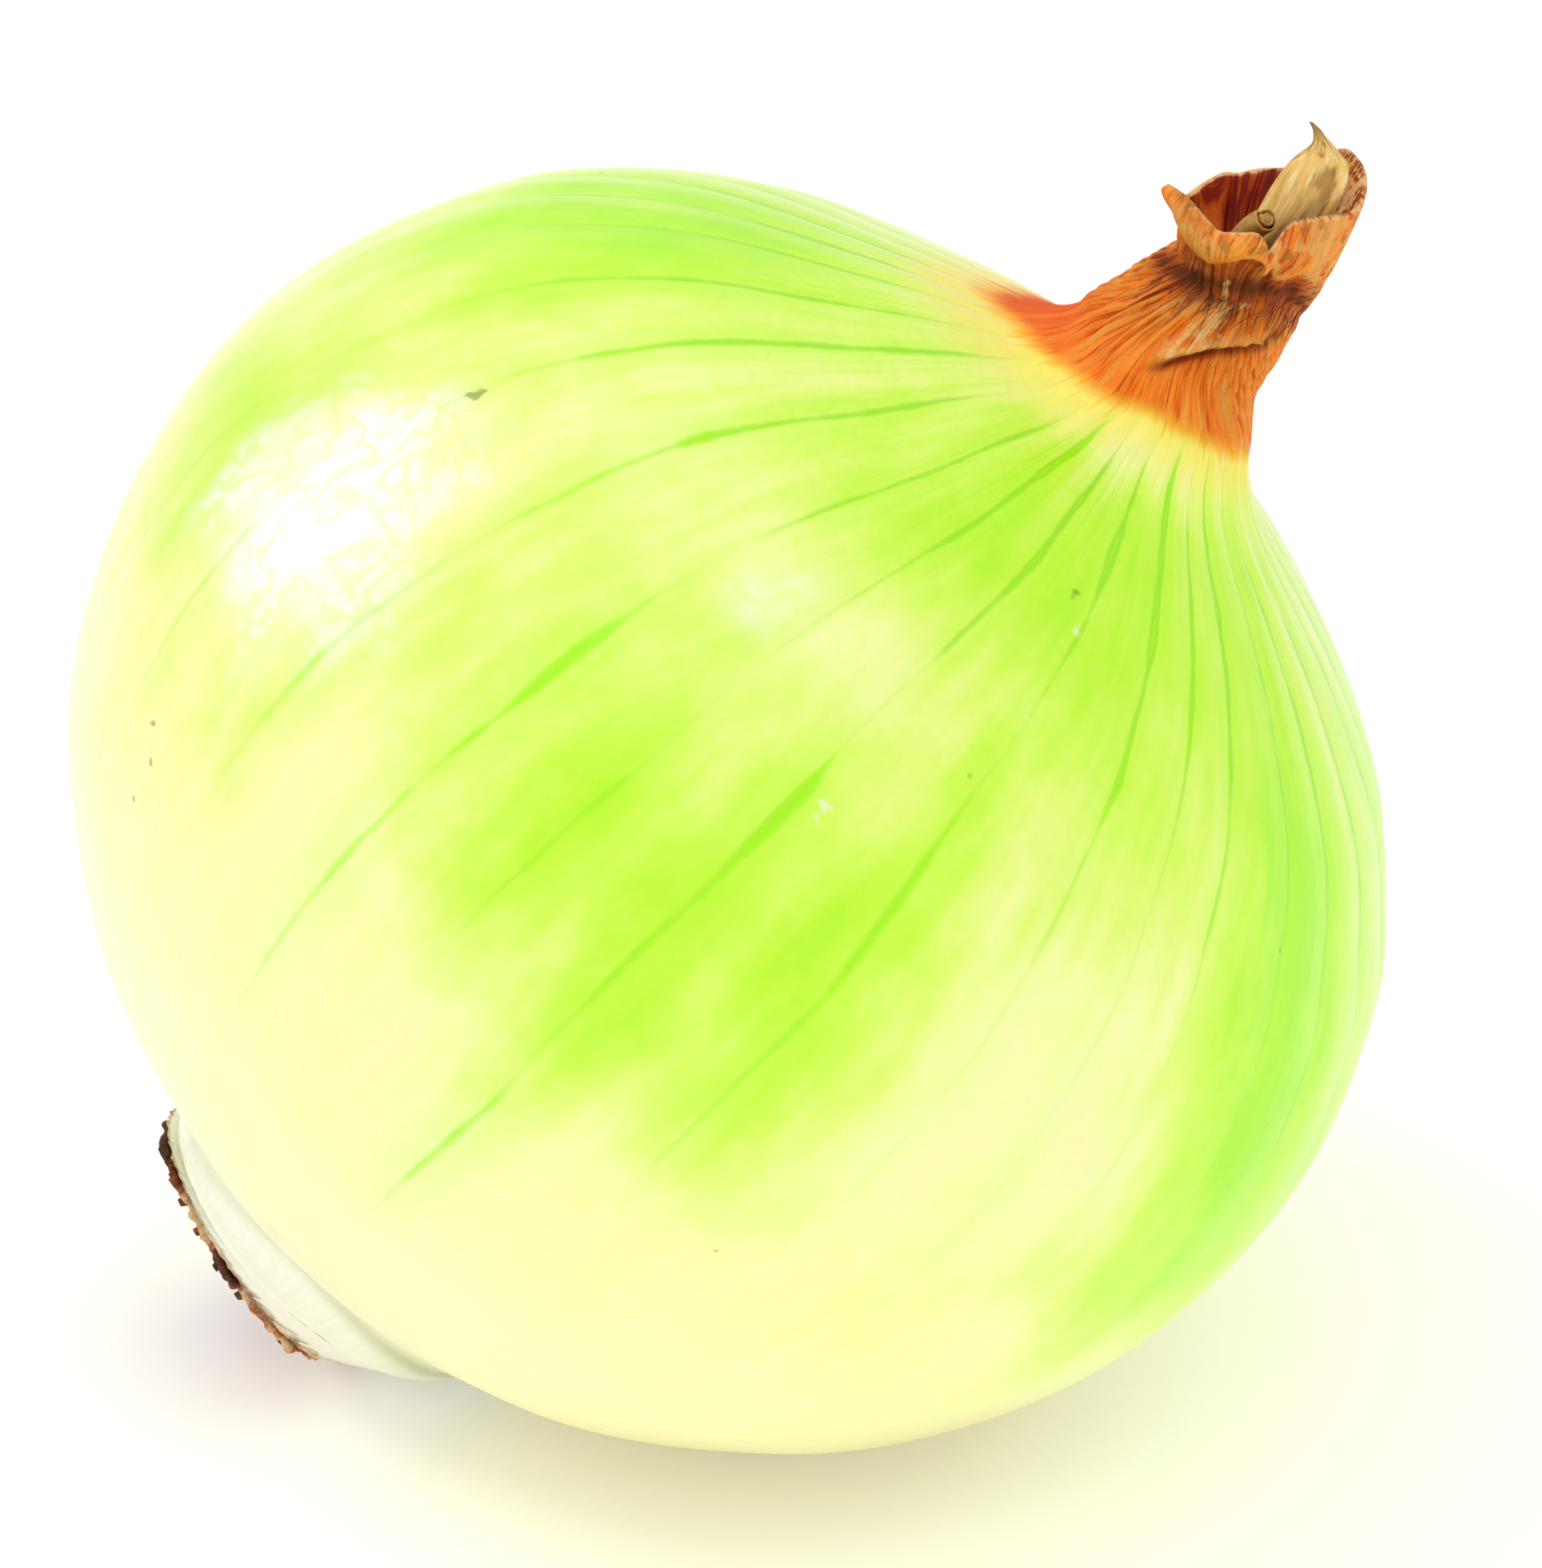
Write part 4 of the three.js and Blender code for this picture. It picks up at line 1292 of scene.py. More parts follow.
@dataclass
class OuterScale:
    """The fleshy outer scale, from the root to the torn rim of its dried neck, in one skin.

    Attributes:
        columns_per_vein: How many columns the grid has from one vein to the next.
        rows_per_span: How many rows it has from one station of the meridian to the next.
        wall_rows: How many rows it has up the mouth's wall.
        vein_pinch: How far a vein sinks in near the neck, in millimetres.
        wave_height: The height of the broad waves in the flesh, in millimetres.
        ripple_height: The height of the fine ripples in the flesh, in millimetres.
        pleat_depth: The height of the dry neck's pleats, in millimetres.
        pleat_heights: The heights between which the pleats grow to that.
        crumple_height: The height of the fine crumples high on the neck, in millimetres.
        crumple_heights: The heights between which the crumples grow to that.
        stub_crease_depth: The depth of the crease round the root's stub, in millimetres.
        furrow_depth: The depth of the furrow across the neck, in millimetres.
        ridge_height: The height of the ridge over that furrow, in millimetres.
        rim_thickness: The wall's thickness at its torn rim, in millimetres.
        cup_thickness: Its thickness at the waist, in millimetres.
        cup_floor: The height of the mouth's floor.
        rag: How far the torn rim stands up and down, in millimetres.
        neck_reach: Where the neck's own finish starts, in millimetres above the dry line.
        mark_reach: How far a single speck or scar can show from its middle, in millimetres.
        least_painted_highlight: The least painted highlight that can show.
        waist: The height, radius and offset of the ring that the wall rises from.
        mouth_centre: The middle of the mouth, from which its rim is seen.
        fold_span: The azimuths between which the petal folds over the neck.
        fold_step: The share of the wall's rows that lie below the fold.
        seam_vein: The vein at which the grid starts.
        gather_bearing: The bearing toward which the pleats are drawn together.
        gather_pull: How strongly they are drawn.
        gather_width: How far from that bearing the pull starts to fade, and ends, in degrees.
        gather_heights: The heights between which the pull grows.
        streaks: The stretches of the veins that show.
        patches: The patches of green.
        dry_line: Where the skin turns dry, by bearing.
        stub_line: The crease between the scale and the root's stub, by bearing.
        fold_line: The petal's fold, by bearing.
        shadow_line: The line of the painted shade under the petal's fold, by bearing.
        shadow_depth: How dark that painted shade is, by bearing.
        fold_edge: The share of the wall below which that painted shade lies, by bearing.
        crease_line: The long crease across the neck, by bearing.
        stub_depth: How dark the painted shade in the root's crease is, by bearing.
        flakes: The strips of torn skin on the neck.
    """

    columns_per_vein: int = 13
    rows_per_span: int = 8
    wall_rows: int = 26
    vein_pinch: float = 0.25
    wave_height: float = 0.16
    ripple_height: float = 0.025
    pleat_depth: float = 0.1
    pleat_heights: tuple[float, float] = (28.5, 37.0)
    crumple_height: float = 0.05
    crumple_heights: tuple[float, float] = (37.0, 40.0)
    stub_crease_depth: float = 0.16
    furrow_depth: float = 0.55
    ridge_height: float = 0.4
    rim_thickness: float = 0.3
    cup_thickness: float = 0.75
    cup_floor: float = 41.2
    rag: float = 0.08
    neck_reach: float = -4.2
    mark_reach: float = 2.8
    least_painted_highlight: float = 0.02
    waist: tuple[float, float, float] = (41.9, 4.3, 0.3)
    mouth_centre: tuple[float, float] = (-2.1, 0.7)
    fold_span: tuple[float, float] = (-200.0, -76.0)
    fold_step: float = 0.47
    seam_vein: int = 66
    gather_bearing: float = -12.0
    gather_pull: float = 1.1
    gather_width: tuple[float, float] = (35.0, 150.0)
    gather_heights: tuple[float, float] = (34.5, 43.5)
    streaks: tuple[VeinStreak, ...] = (
        VeinStreak(177, 30, 15, 0.6), VeinStreak(-170, 30, 12, 0.7), VeinStreak(-157, 31, 14, 0.8),
        VeinStreak(-142, 29, 11, 0.8), VeinStreak(-142, 8, -12, 0.35), VeinStreak(-157, 5, -16, 0.3),
        VeinStreak(-170, 4, -14, 0.25), VeinStreak(-128, 31, 21, 0.6), VeinStreak(-128, 15, 0, 0.9),
        VeinStreak(-128, 0, -20, 0.3), VeinStreak(-117, 33, 23, 1.0), VeinStreak(-117, 9, -3, 0.6),
        VeinStreak(-106, 32, 23, 1.0), VeinStreak(-106, 16, -9, 1.0), VeinStreak(-106, -8, -22, 0.45),
        VeinStreak(-93, 32, 26, 1.0), VeinStreak(-93, 20, -9, 0.8), VeinStreak(-79, 34, 15, 1.0),
        VeinStreak(-69, 31, 22, 1.0), VeinStreak(-60, 34, 15, 1.0), VeinStreak(-47, 30, 0, 0.6),
        VeinStreak(-37, 31, 0, 0.85), VeinStreak(-26, 31, 3, 0.8), VeinStreak(-14, 31, 5, 0.85),
        VeinStreak(-3, 31, 8, 0.8), VeinStreak(9, 31, 10, 0.8),
    )
    patches: tuple[FlushPatch, ...] = (
        FlushPatch(0, 400, 17, 60, 0.20), FlushPatch(15, 42, 24, 33, 0.30),
        FlushPatch(-78, 20, 16, 28, 0.40), FlushPatch(-2, 22, -5, 15, 0.20),
        FlushPatch(-58, 24, -18, 8, 0.15), FlushPatch(-19, 6, 1, 16, 0.10),
        FlushPatch(-9, 5, -5, 15, 0.24), FlushPatch(3, 6, -8, 16, 0.32),
        FlushPatch(15, 6, -3, 21, 0.28), FlushPatch(24, 5, 4, 16, 0.12),
        FlushPatch(-29, 6, 5, 16, 0.20), FlushPatch(-66, 20, 0, 22, 0.16),
        FlushPatch(-60, 6, -10, 8, 0.12), FlushPatch(-36, 6, -12, 2, 0.14),
        FlushPatch(64, 12, 0, 31, 0.42), FlushPatch(76, 16, -6, 20, 0.24),
        # The pale patch at bearing -45 also pales the skin under the painted highlight.
        FlushPatch(-14, 22, 18.5, 24, -0.15), FlushPatch(-45, 11, -2, 14, -0.12),
        FlushPatch(-48, 14, 18, 26, -0.08), FlushPatch(36, 13, -2, 19, -0.1),
        FlushPatch(8, 40, 32, 60, -0.4), FlushPatch(150, 60, -5, 28, 0.3),
        FlushPatch(8, 6, 6, 15, 0.18), FlushPatch(-14, 6, 9, 18, 0.14),
        FlushPatch(-22, 9, 12, 22, 0.07), FlushPatch(-32, 9, -6, 5, -0.10),
        FlushPatch(-13, 6, 1, 9, -0.06), FlushPatch(48, 8, 11, 23, 0.08),
        FlushPatch(21, 7, -4, 7, 0.08), FlushPatch(55, 7, 6, 15, -0.08),
        FlushPatch(70, 9, 12, 26, 0.05),
    )
    dry_line: Line = (
        (-180, 32.6), (-130, 31.4), (-93, 31.3), (-87, 31.6), (-82, 31.9), (-68, 32.5), (-54, 32.9),
        (-35, 33.7), (-17, 34.2), (4, 35.3), (23, 35.6), (43, 35.8), (78, 35.8), (140, 34.6),
        (180, 32.6),
    )
    stub_line: Line = (
        (-180, -38.0), (-46, -38.0), (-37, -37.5), (-22, -36.5), (-8, -35.3), (1, -35.2), (11, -35.9),
        (27, -37.0), (52, -38.0), (180, -38.0),
    )
    fold_line: Line = (
        (-180, 43.0), (-90, 43.0), (-70, 43.2), (-45, 43.0), (-23, 43.4), (-13, 44.3), (-4, 45.6),
        (6, 46.0), (12, 45.2), (19, 45.0), (39, 45.5), (56, 45.4), (75, 44.2), (180, 43.0),
    )
    shadow_line: Line = (
        (-180, 41.8), (-90, 40.9), (-58, 40.9), (-23, 42.1), (-8, 42.8), (3, 43.8), (19, 44.3),
        (39, 44.7), (56, 44.8), (70, 44.6), (90, 44.2), (125, 43.0), (180, 41.8),
    )
    shadow_depth: Line = (
        (-180, 0.3), (-95, 0.35), (-58, 0.75), (-23, 1.0), (20, 1.0), (42, 0.85), (58, 0.95),
        (85, 0.85), (120, 0.5), (180, 0.3),
    )
    fold_edge: Line = ((-180, 0.45), (40, 0.45), (60, 0.58), (90, 0.62), (130, 0.5), (180, 0.45))
    crease_line: Line = (
        (-15, 36.4), (-7, 37.0), (1, 37.6), (11, 38.8), (21, 39.9), (40, 41.1), (58, 41.9),
        (67, 42.8), (80, 43.5),
    )
    stub_depth: Line = (
        (-70, 0.1), (-40, 0.35), (-5, 0.55), (30, 0.8), (45, 1.0), (60, 1.0), (80, 0.4),
    )
    flakes: tuple[Flake, ...] = (
        Flake(((-4.0, 43.4), (2.0, 42.6), (8.0, 41.9)), 0.24, 0.9),
        Flake(((20.0, 43.3), (12.0, 42.4), (8.0, 41.9)), 0.18, 0.8),
        Flake(((8.0, 41.9), (9.0, 41.0), (7.0, 40.0)), 0.42, 0.9),
        Flake(((7.0, 40.0), (3.0, 39.0), (-3.0, 38.4)), 0.8, 0.5),
        Flake(((22.0, 41.0), (10.0, 39.6)), 0.3, 0.5),
    )

    def build(self) -> bpy.types.Object:
        """Makes the scale.

        Returns:
            The piece.
        """
        around, azimuth, between = self._columns()
        outer, share = self._outside(azimuth, between)
        inner, inner_share = self._inside(outer, share)
        points = np.concatenate([outer, inner])
        along = self._along(points, len(outer))
        lip_offset = BULB_MERIDIAN[0][2]
        surface = Surface(
            points=points, around=around, along=along,
            foot=np.array([lip_offset, 0.0, LIP_LINE + LIP_HOLLOW]),
            top=np.array([self.waist[2], 0.0, self.cup_floor]),
            tones=self._tones(points, azimuth, len(outer), np.concatenate([share, inner_share])),
            ring=self._ring(azimuth, points[:, :, 2], along),
        )
        return surface.mesh("outer_scale")

    def _columns(self) -> tuple[np.ndarray, np.ndarray, np.ndarray]:
        """Each column's vein number, its azimuth in radians, and how far it is from a vein."""
        first = VEINS.index(self.seam_vein)
        order = [*VEINS[first:], *(vein + 360 for vein in VEINS[: first + 1])]
        count = len(VEINS) * self.columns_per_vein
        around = np.arange(count + 1) / self.columns_per_vein
        azimuth = np.radians(np.interp(around[:-1], np.arange(len(order)), order))
        between = np.sin(math.pi * (around[:-1] % 1.0))
        return around, azimuth, between

    def _outside(self, azimuth: np.ndarray, between: np.ndarray) -> tuple[np.ndarray, np.ndarray]:
        """The outside of the bulb, the neck and the mouth's wall.

        Args:
            azimuth: Each column's azimuth, in radians.
            between: 0 on a vein and 1 midway to the next.

        Returns:
            The points, and each row's share of the way up the mouth's wall, 0 below the waist.
        """
        tucked_in = (-40.5, 11.0, 0.8)
        stations = [
            (radius, offset, height)
            for height, radius, offset in [tucked_in, *BULB_MERIDIAN, *NECK_SECTIONS]
        ]
        meridian = smooth_curve(stations, self.rows_per_span)
        radius, offset, height = (meridian[:, [i]] for i in range(3))
        direction = directions(azimuth)
        near_neck = smoothstep(height, -10.0, NECK_LINE)
        bearing = turned(np.degrees(azimuth), FRONT)[None, :]
        reach = radius - self.vein_pinch * near_neck * (1.0 - between)
        reach = reach + self._relief(azimuth[None, :], bearing, height)
        body = np.empty((len(meridian), len(azimuth), 3))
        body[:] = direction[None, :, :] * reach[:, :, None]
        body[:, :, 0] += offset
        body[:, :, 2] = height
        wall, share = self._wall(body[-1], azimuth, direction)
        return np.concatenate([body, wall]), np.concatenate([np.zeros(len(body)), share])

    def _gathered(self, azimuth: np.ndarray, height: np.ndarray) -> np.ndarray:
        """The azimuth that a pleat had where it set out, before the neck's fold drew it in.

        Args:
            azimuth: In radians.
            height: In millimetres.

        Returns:
            Azimuths, in radians.
        """
        aside = turned(np.degrees(azimuth), FRONT + self.gather_bearing)
        window = 1.0 - smoothstep(np.abs(aside), *self.gather_width)
        let_go = 0.6 * smoothstep(height, 44.0, 47.0)
        drawn = smoothstep(height, *self.gather_heights) * (1.0 - let_go)
        return azimuth + np.radians(aside * window * drawn * self.gather_pull)

    def _pleats(self, azimuth: np.ndarray, height: np.ndarray) -> np.ndarray:
        """The dry neck's pleats, about -1 to 1."""
        return RippleField(5, range(17, 68, 3), 0.10).at(self._gathered(azimuth, height), height)

    def _relief(self, azimuth: np.ndarray, bearing: np.ndarray, height: np.ndarray) -> np.ndarray:
        """Waves, pleats and the neck's crease, outward in millimetres."""
        waves = RippleField(3, range(2, 9), 0.04).at(azimuth, height)
        ripple = RippleField(11, range(14, 42, 3), 0.05).at(azimuth, height)
        dry = smoothstep(height, *self.pleat_heights)
        relief = (self.wave_height * waves + self.ripple_height * ripple) * (1.0 - dry)
        relief = relief + self.pleat_depth * dry * self._pleats(azimuth, height)
        crumple = RippleField(13, range(6, 34, 3), 2.4).at(azimuth, height)
        crumpled = smoothstep(height, *self.crumple_heights)
        relief = relief + self.crumple_height * crumpled * crumple
        stub = bump_at(height - along_line(bearing, self.stub_line), 0.0, 0.6)
        relief = relief - self.stub_crease_depth * stub
        rise, along_crease = self._neck_crease(bearing, height)
        furrow = self.furrow_depth * bump_at(rise, 0.0, 0.34)
        ridge = self.ridge_height * bump_at(rise, 0.8, 0.45)
        return relief + (ridge - furrow) * along_crease

    def _neck_crease(
        self, bearing: np.ndarray, height: np.ndarray,
    ) -> tuple[np.ndarray, np.ndarray]:
        """How far each point lies above the neck's crease, in millimetres, and its depth there."""
        rise = height - along_line(bearing, self.crease_line)
        return rise, smoothstep(bearing, -14.0, 2.0) * (1.0 - smoothstep(bearing, 58.0, 75.0))

    def _rim(self, azimuth: np.ndarray) -> np.ndarray:
        """The rim's point at each azimuth, seen from the middle of the mouth."""
        curve = smooth_curve(MOUTH_RIM, 40, closed=True)
        seen = curve[:, :2] - np.array(self.mouth_centre)
        angles = np.arctan2(seen[:, 1], seen[:, 0])
        nearest = np.cos(angles[None, :] - azimuth[:, None]).argmax(axis=1)
        return curve[nearest]

    def _folded(self, azimuth: np.ndarray) -> np.ndarray:
        """1 where the petal folds over the neck, 0 well away from it."""
        start, end = self.fold_span
        degrees = (np.degrees(azimuth) - end) % 360.0 - 360.0
        return smoothstep(degrees, start - end - 12, start - end) * (1.0 - smoothstep(degrees, -6, 0))

    def _wall(
        self, waist: np.ndarray, azimuth: np.ndarray, direction: np.ndarray,
    ) -> tuple[np.ndarray, np.ndarray]:
        """The outside of the mouth's wall, from the waist to its torn rim.

        Args:
            waist: The ring it rises from.
            azimuth: Each column's azimuth, in radians.
            direction: Each column's outward direction.

        Returns:
            Its points, and each row's share of the way up.
        """
        step = np.linspace(0.0, 1.0, self.wall_rows + 1)[1:]
        folded_swell = np.interp(
            step, [0, 0.2, 0.38, 0.45, 0.5, 0.56, 0.66, 0.78, 0.9, 1],
            [0, -0.15, -0.38, -0.3, 0.3, 0.62, 0.75, 0.6, 0.28, 0],
        )
        straight_swell = np.interp(
            step, [0, 0.2, 0.36, 0.45, 0.56, 0.75, 0.9, 1],
            [0, 0.02, -0.14, -0.06, 0.24, 0.24, 0.12, 0],
        )
        lip = self._rim(azimuth)
        rise = lip - waist
        torn = self.rag * RippleField(21, (7, 13, 19, 28, 37, 52), 0.0).round(azimuth)
        lip = lip + rise / np.linalg.norm(rise, axis=1, keepdims=True) * torn[:, None]
        at_fold = self._fold_share(waist, rise)[None, :]
        low = at_fold * step[:, None] / self.fold_step
        high = at_fold + (1.0 - at_fold) * (step[:, None] - self.fold_step) / (1.0 - self.fold_step)
        share = np.where(step[:, None] < self.fold_step, low, high)
        fold = self._folded(azimuth)
        swell = straight_swell[:, None] + (folded_swell - straight_swell)[:, None] * fold[None, :]
        height = waist[None, :, 2] + share * rise[None, :, 2]
        fade = 0.8 - 0.44 * step[:, None]
        swell = swell + self.pleat_depth * self._pleats(azimuth[None, :], height) * fade
        base = waist[None] + share[:, :, None] * rise[None]
        return base + direction[None] * swell[:, :, None], step

    def _fold_share(self, waist: np.ndarray, rise: np.ndarray) -> np.ndarray:
        """How far up each column of the wall the fold lies, from 0 at the waist to 1 at the rim."""
        share = np.full(len(waist), 0.45)
        for _ in range(12):
            height = along_line(axis_bearing(waist + share[:, None] * rise), self.fold_line)
            share += 0.5 * (np.clip((height - waist[:, 2]) / rise[:, 2], 0.2, 0.88) - share)
        window = np.hanning(19) / np.hanning(19).sum()
        wrapped = np.concatenate([share[-9:], share, share[:9]])
        return np.convolve(wrapped, window, mode="valid")

    def _inside(self, outer: np.ndarray, share: np.ndarray) -> tuple[np.ndarray, np.ndarray]:
        """The inside of the mouth's wall, down to the cup's floor.

        Args:
            outer: The outside's points.
            share: Each row's share of the way up the wall.

        Returns:
            Its points from the rim down, and each row's share.
        """
        rows = []
        waist = int(np.flatnonzero(share > 0)[0]) - 1
        for ring, climbed in zip(outer[:waist - 1:-1], share[:waist - 1:-1]):
            inward = ring.mean(axis=0) - ring
            inward[:, 2] = 0.0
            inward /= np.linalg.norm(inward, axis=1, keepdims=True)
            thicker = (self.cup_thickness - self.rim_thickness) * math.sqrt(1.0 - climbed)
            rows.append(ring + inward * (self.rim_thickness + thicker))
        return np.array(rows), share[:waist - 1:-1]

    @staticmethod
    def _along(points: np.ndarray, outside: int) -> np.ndarray:
        """Each point's distance up its column, in millimetres, falling again inside the mouth."""
        steps = np.linalg.norm(np.diff(points, axis=0), axis=2)
        steps[outside - 1:] *= -1.0
        return np.vstack([np.zeros(points.shape[1]), np.cumsum(steps, axis=0)])

    def _ring(self, azimuth: np.ndarray, height: np.ndarray, along: np.ndarray) -> np.ndarray:
        """A place on a cylinder for each point, about one unit round it for each vein."""
        turn = self._gathered(azimuth[None, :], height)
        reach = len(VEINS) / (2 * math.pi)
        return np.stack([reach * np.cos(turn), reach * np.sin(turn), along], axis=2)

    def _tones(
        self, points: np.ndarray, azimuth: np.ndarray, outside: int, share: np.ndarray,
    ) -> dict[str, np.ndarray]:
        """The scale's own attributes, one number for each point.

        Args:
            points: The points.
            azimuth: Each column's azimuth, in radians.
            outside: How many rows lie outside.
            share: Each row's share of the way up the mouth's wall.

        Returns:
            The numbers by name.
        """
        bearing = np.broadcast_to(turned(np.degrees(azimuth), FRONT), points.shape[:2])
        inside = np.zeros(points.shape[:2])
        inside[outside:] = 1.0
        return {
            "inside": inside,
            "edge": smoothstep(share, 0.93, 1.0)[:, None] * np.ones(points.shape[:2]),
            **self._flesh_tones(points, azimuth, bearing),
            **self._neck_tones(points, bearing, share),
        }

    def _flesh_tones(
        self, points: np.ndarray, azimuth: np.ndarray, bearing: np.ndarray,
    ) -> dict[str, np.ndarray]:
        """The attributes that colour the bulb's flesh.

        Args:
            points: The points.
            azimuth: Each column's azimuth, in radians.
            bearing: Each point's bearing, in degrees.

        Returns:
            The numbers by name.
        """
        height = points[:, :, 2]
        flush = sum(patch.at(bearing, height) for patch in self.patches)
        flush = flush + 0.04 + 0.24 * smoothstep(height, -26.0, 4.0)
        # A painted highlight on the bulb's left, with a fainter one higher up.
        painted_highlight = bump_at(bearing, -44.5, 12.0) * bump_at(height, 4.5, 9.0)
        lesser_painted_highlight = 0.3 * bump_at(bearing, -12.0, 10.0) * bump_at(height, 20.5, 3.0)
        over_stub = height - along_line(bearing, self.stub_line)
        vein_spread = ((-25, 0.52), (8, 0.52), (20, 0.44), (27, 0.34), (33, 0.26))
        return {
            "flush": np.clip(flush, 0.0, 1.0),
            "painted_highlight": np.maximum(painted_highlight, lesser_painted_highlight),
            # Painted shade, from how far each point faces down.
            "under": smoothstep(-self._facing_up(points), 0.66, 0.97),
            "girth": np.hypot(points[:, :, 0], points[:, :, 1]),
            "vein": self._vein_strength(azimuth, height),
            "vein_spread": along_line(height, vein_spread),
            "stub": 1.0 - smoothstep(over_stub, -1.2, 2.8),
            # Painted shade in the crease beside the root's stub.
            "painted_stub_crease_shade": bump_at(over_stub, -0.5, 0.9) * along_line(bearing, self.stub_depth),
        }

    def _neck_tones(
        self, points: np.ndarray, bearing: np.ndarray, share: np.ndarray,
    ) -> dict[str, np.ndarray]:
        """The attributes that colour the dried neck and the mouth.

        Args:
            points: The points.
            bearing: Each point's bearing, in degrees.
            share: Each row's share of the way up the mouth's wall.

        Returns:
            The numbers by name.
        """
        height = points[:, :, 2]
        seen = axis_bearing(points)
        climbed = share[:, None]
        below_fold = 1.0 - smoothstep(climbed - along_line(seen, self.fold_edge), 0.0, 0.07)
        shadow = along_line(seen, self.shadow_depth) * below_fold
        under = height - along_line(seen, self.shadow_line)
        fold = np.where(under < 0.0, 1.0 + under / 2.4, 1.0 - 0.42 * smoothstep(under, 0.1, 0.9))
        over_fold = smoothstep(height - along_line(seen, self.fold_line), -0.3, 0.6)
        rise, along_crease = self._neck_crease(bearing, height)
        crease = along_crease * below_fold
        girth = np.hypot(points[:, :, 0], points[:, :, 1])
        flake = np.max([strip.at(seen, height, girth) for strip in self.flakes], axis=0)
        at_outline = 1.0 - smoothstep(np.abs(turned(bearing, -112.0)), 14.0, 34.0)
        at_right = 1.0 - smoothstep(np.abs(turned(seen, 112.0)), 66.0, 86.0)
        return {
            "above_line": height - along_line(bearing, self.dry_line),
            "ruddy": bump_at(bearing, -88.0, 34.0) * bump_at(height, 33.0, 4.0),
            "outline": at_outline * bump_at(height, 32.5, 3.0),
            # Painted shade under the petal's fold, and its reach down the creases below it.
            "fold": np.clip(fold, 0.0, 1.0) * shadow,
            "near_fold_shade": smoothstep(under, -5.0, -0.6) * shadow,
            "petal": over_fold * smoothstep(climbed, 0.42, 0.55),
            "flake": flake * below_fold,
            # Painted shade in the crease's furrow and a painted highlight on its ridge.
            "neck_furrow_shade": bump_at(rise, -0.1, 0.3) * crease,
            "neck_ridge_highlight": bump_at(rise, 0.75, 0.5) * crease,
            "withered": at_right * smoothstep(climbed, 0.1, 0.35),
        }

    @staticmethod
    def _facing_up(points: np.ndarray) -> np.ndarray:
        """How far up each point's direction from the bulb's middle turns, from -1 to 1."""
        lifted = points @ np.array(AXES.matrix())[:3, :3].T
        return lifted[..., 2] / np.linalg.norm(lifted, axis=-1)

    def _vein_strength(self, azimuth: np.ndarray, height: np.ndarray) -> np.ndarray:
        """How dark the nearest vein shows at each point."""
        strength = 0.12 * smoothstep(height, -20.0, 20.0)
        degrees = np.degrees(azimuth)
        draw = np.random.default_rng(8)
        drawn = {streak.azimuth for streak in self.streaks}
        unseen = [
            VeinStreak(vein, draw.uniform(29, 34), draw.uniform(2, 17), draw.uniform(0.55, 1.0))
            for vein in VEINS if vein not in drawn
        ]
        for streak in (*self.streaks, *unseen):
            strength = np.maximum(strength, streak.at(degrees, height))
        return strength

    def share_out(self, piece: bpy.types.Object) -> None:
        """Gives the faces by the neck the second material, and those below it with the painted highlight
        or a single mark the third.
        """
        mesh = piece.data
        tones = {name: np.empty(len(mesh.vertices), np.float32) for name in ("above_line", "painted_highlight")}
        for name, numbers in tones.items():
            mesh.attributes[name].data.foreach_get("value", numbers)
        places = np.empty(len(mesh.vertices) * 3, np.float32)
        mesh.vertices.foreach_get("co", places)
        middles = np.array([surface_point(*mark[:2]) for mark in (*SPECKS, *SCARS)])
        away = np.linalg.norm(places.reshape(-1, 1, 3) - middles, axis=2).min(axis=1)
        near_mark = away < self.mark_reach * MILLIMETRE
        corner = np.empty(len(mesh.loops), np.int32)
        mesh.loops.foreach_get("vertex_index", corner)
        start = np.empty(len(mesh.polygons), np.int32)
        mesh.polygons.foreach_get("loop_start", start)
        dries = tones["above_line"] > self.neck_reach
        shows = near_mark | (tones["painted_highlight"] > self.least_painted_highlight)
        by_neck, highlighted_or_marked = (np.maximum.reduceat(at[corner], start) for at in (dries, shows))
        index = np.where(by_neck, 1, np.where(highlighted_or_marked, 2, 0)).astype(np.int32)
        mesh.polygons.foreach_set("material_index", index)


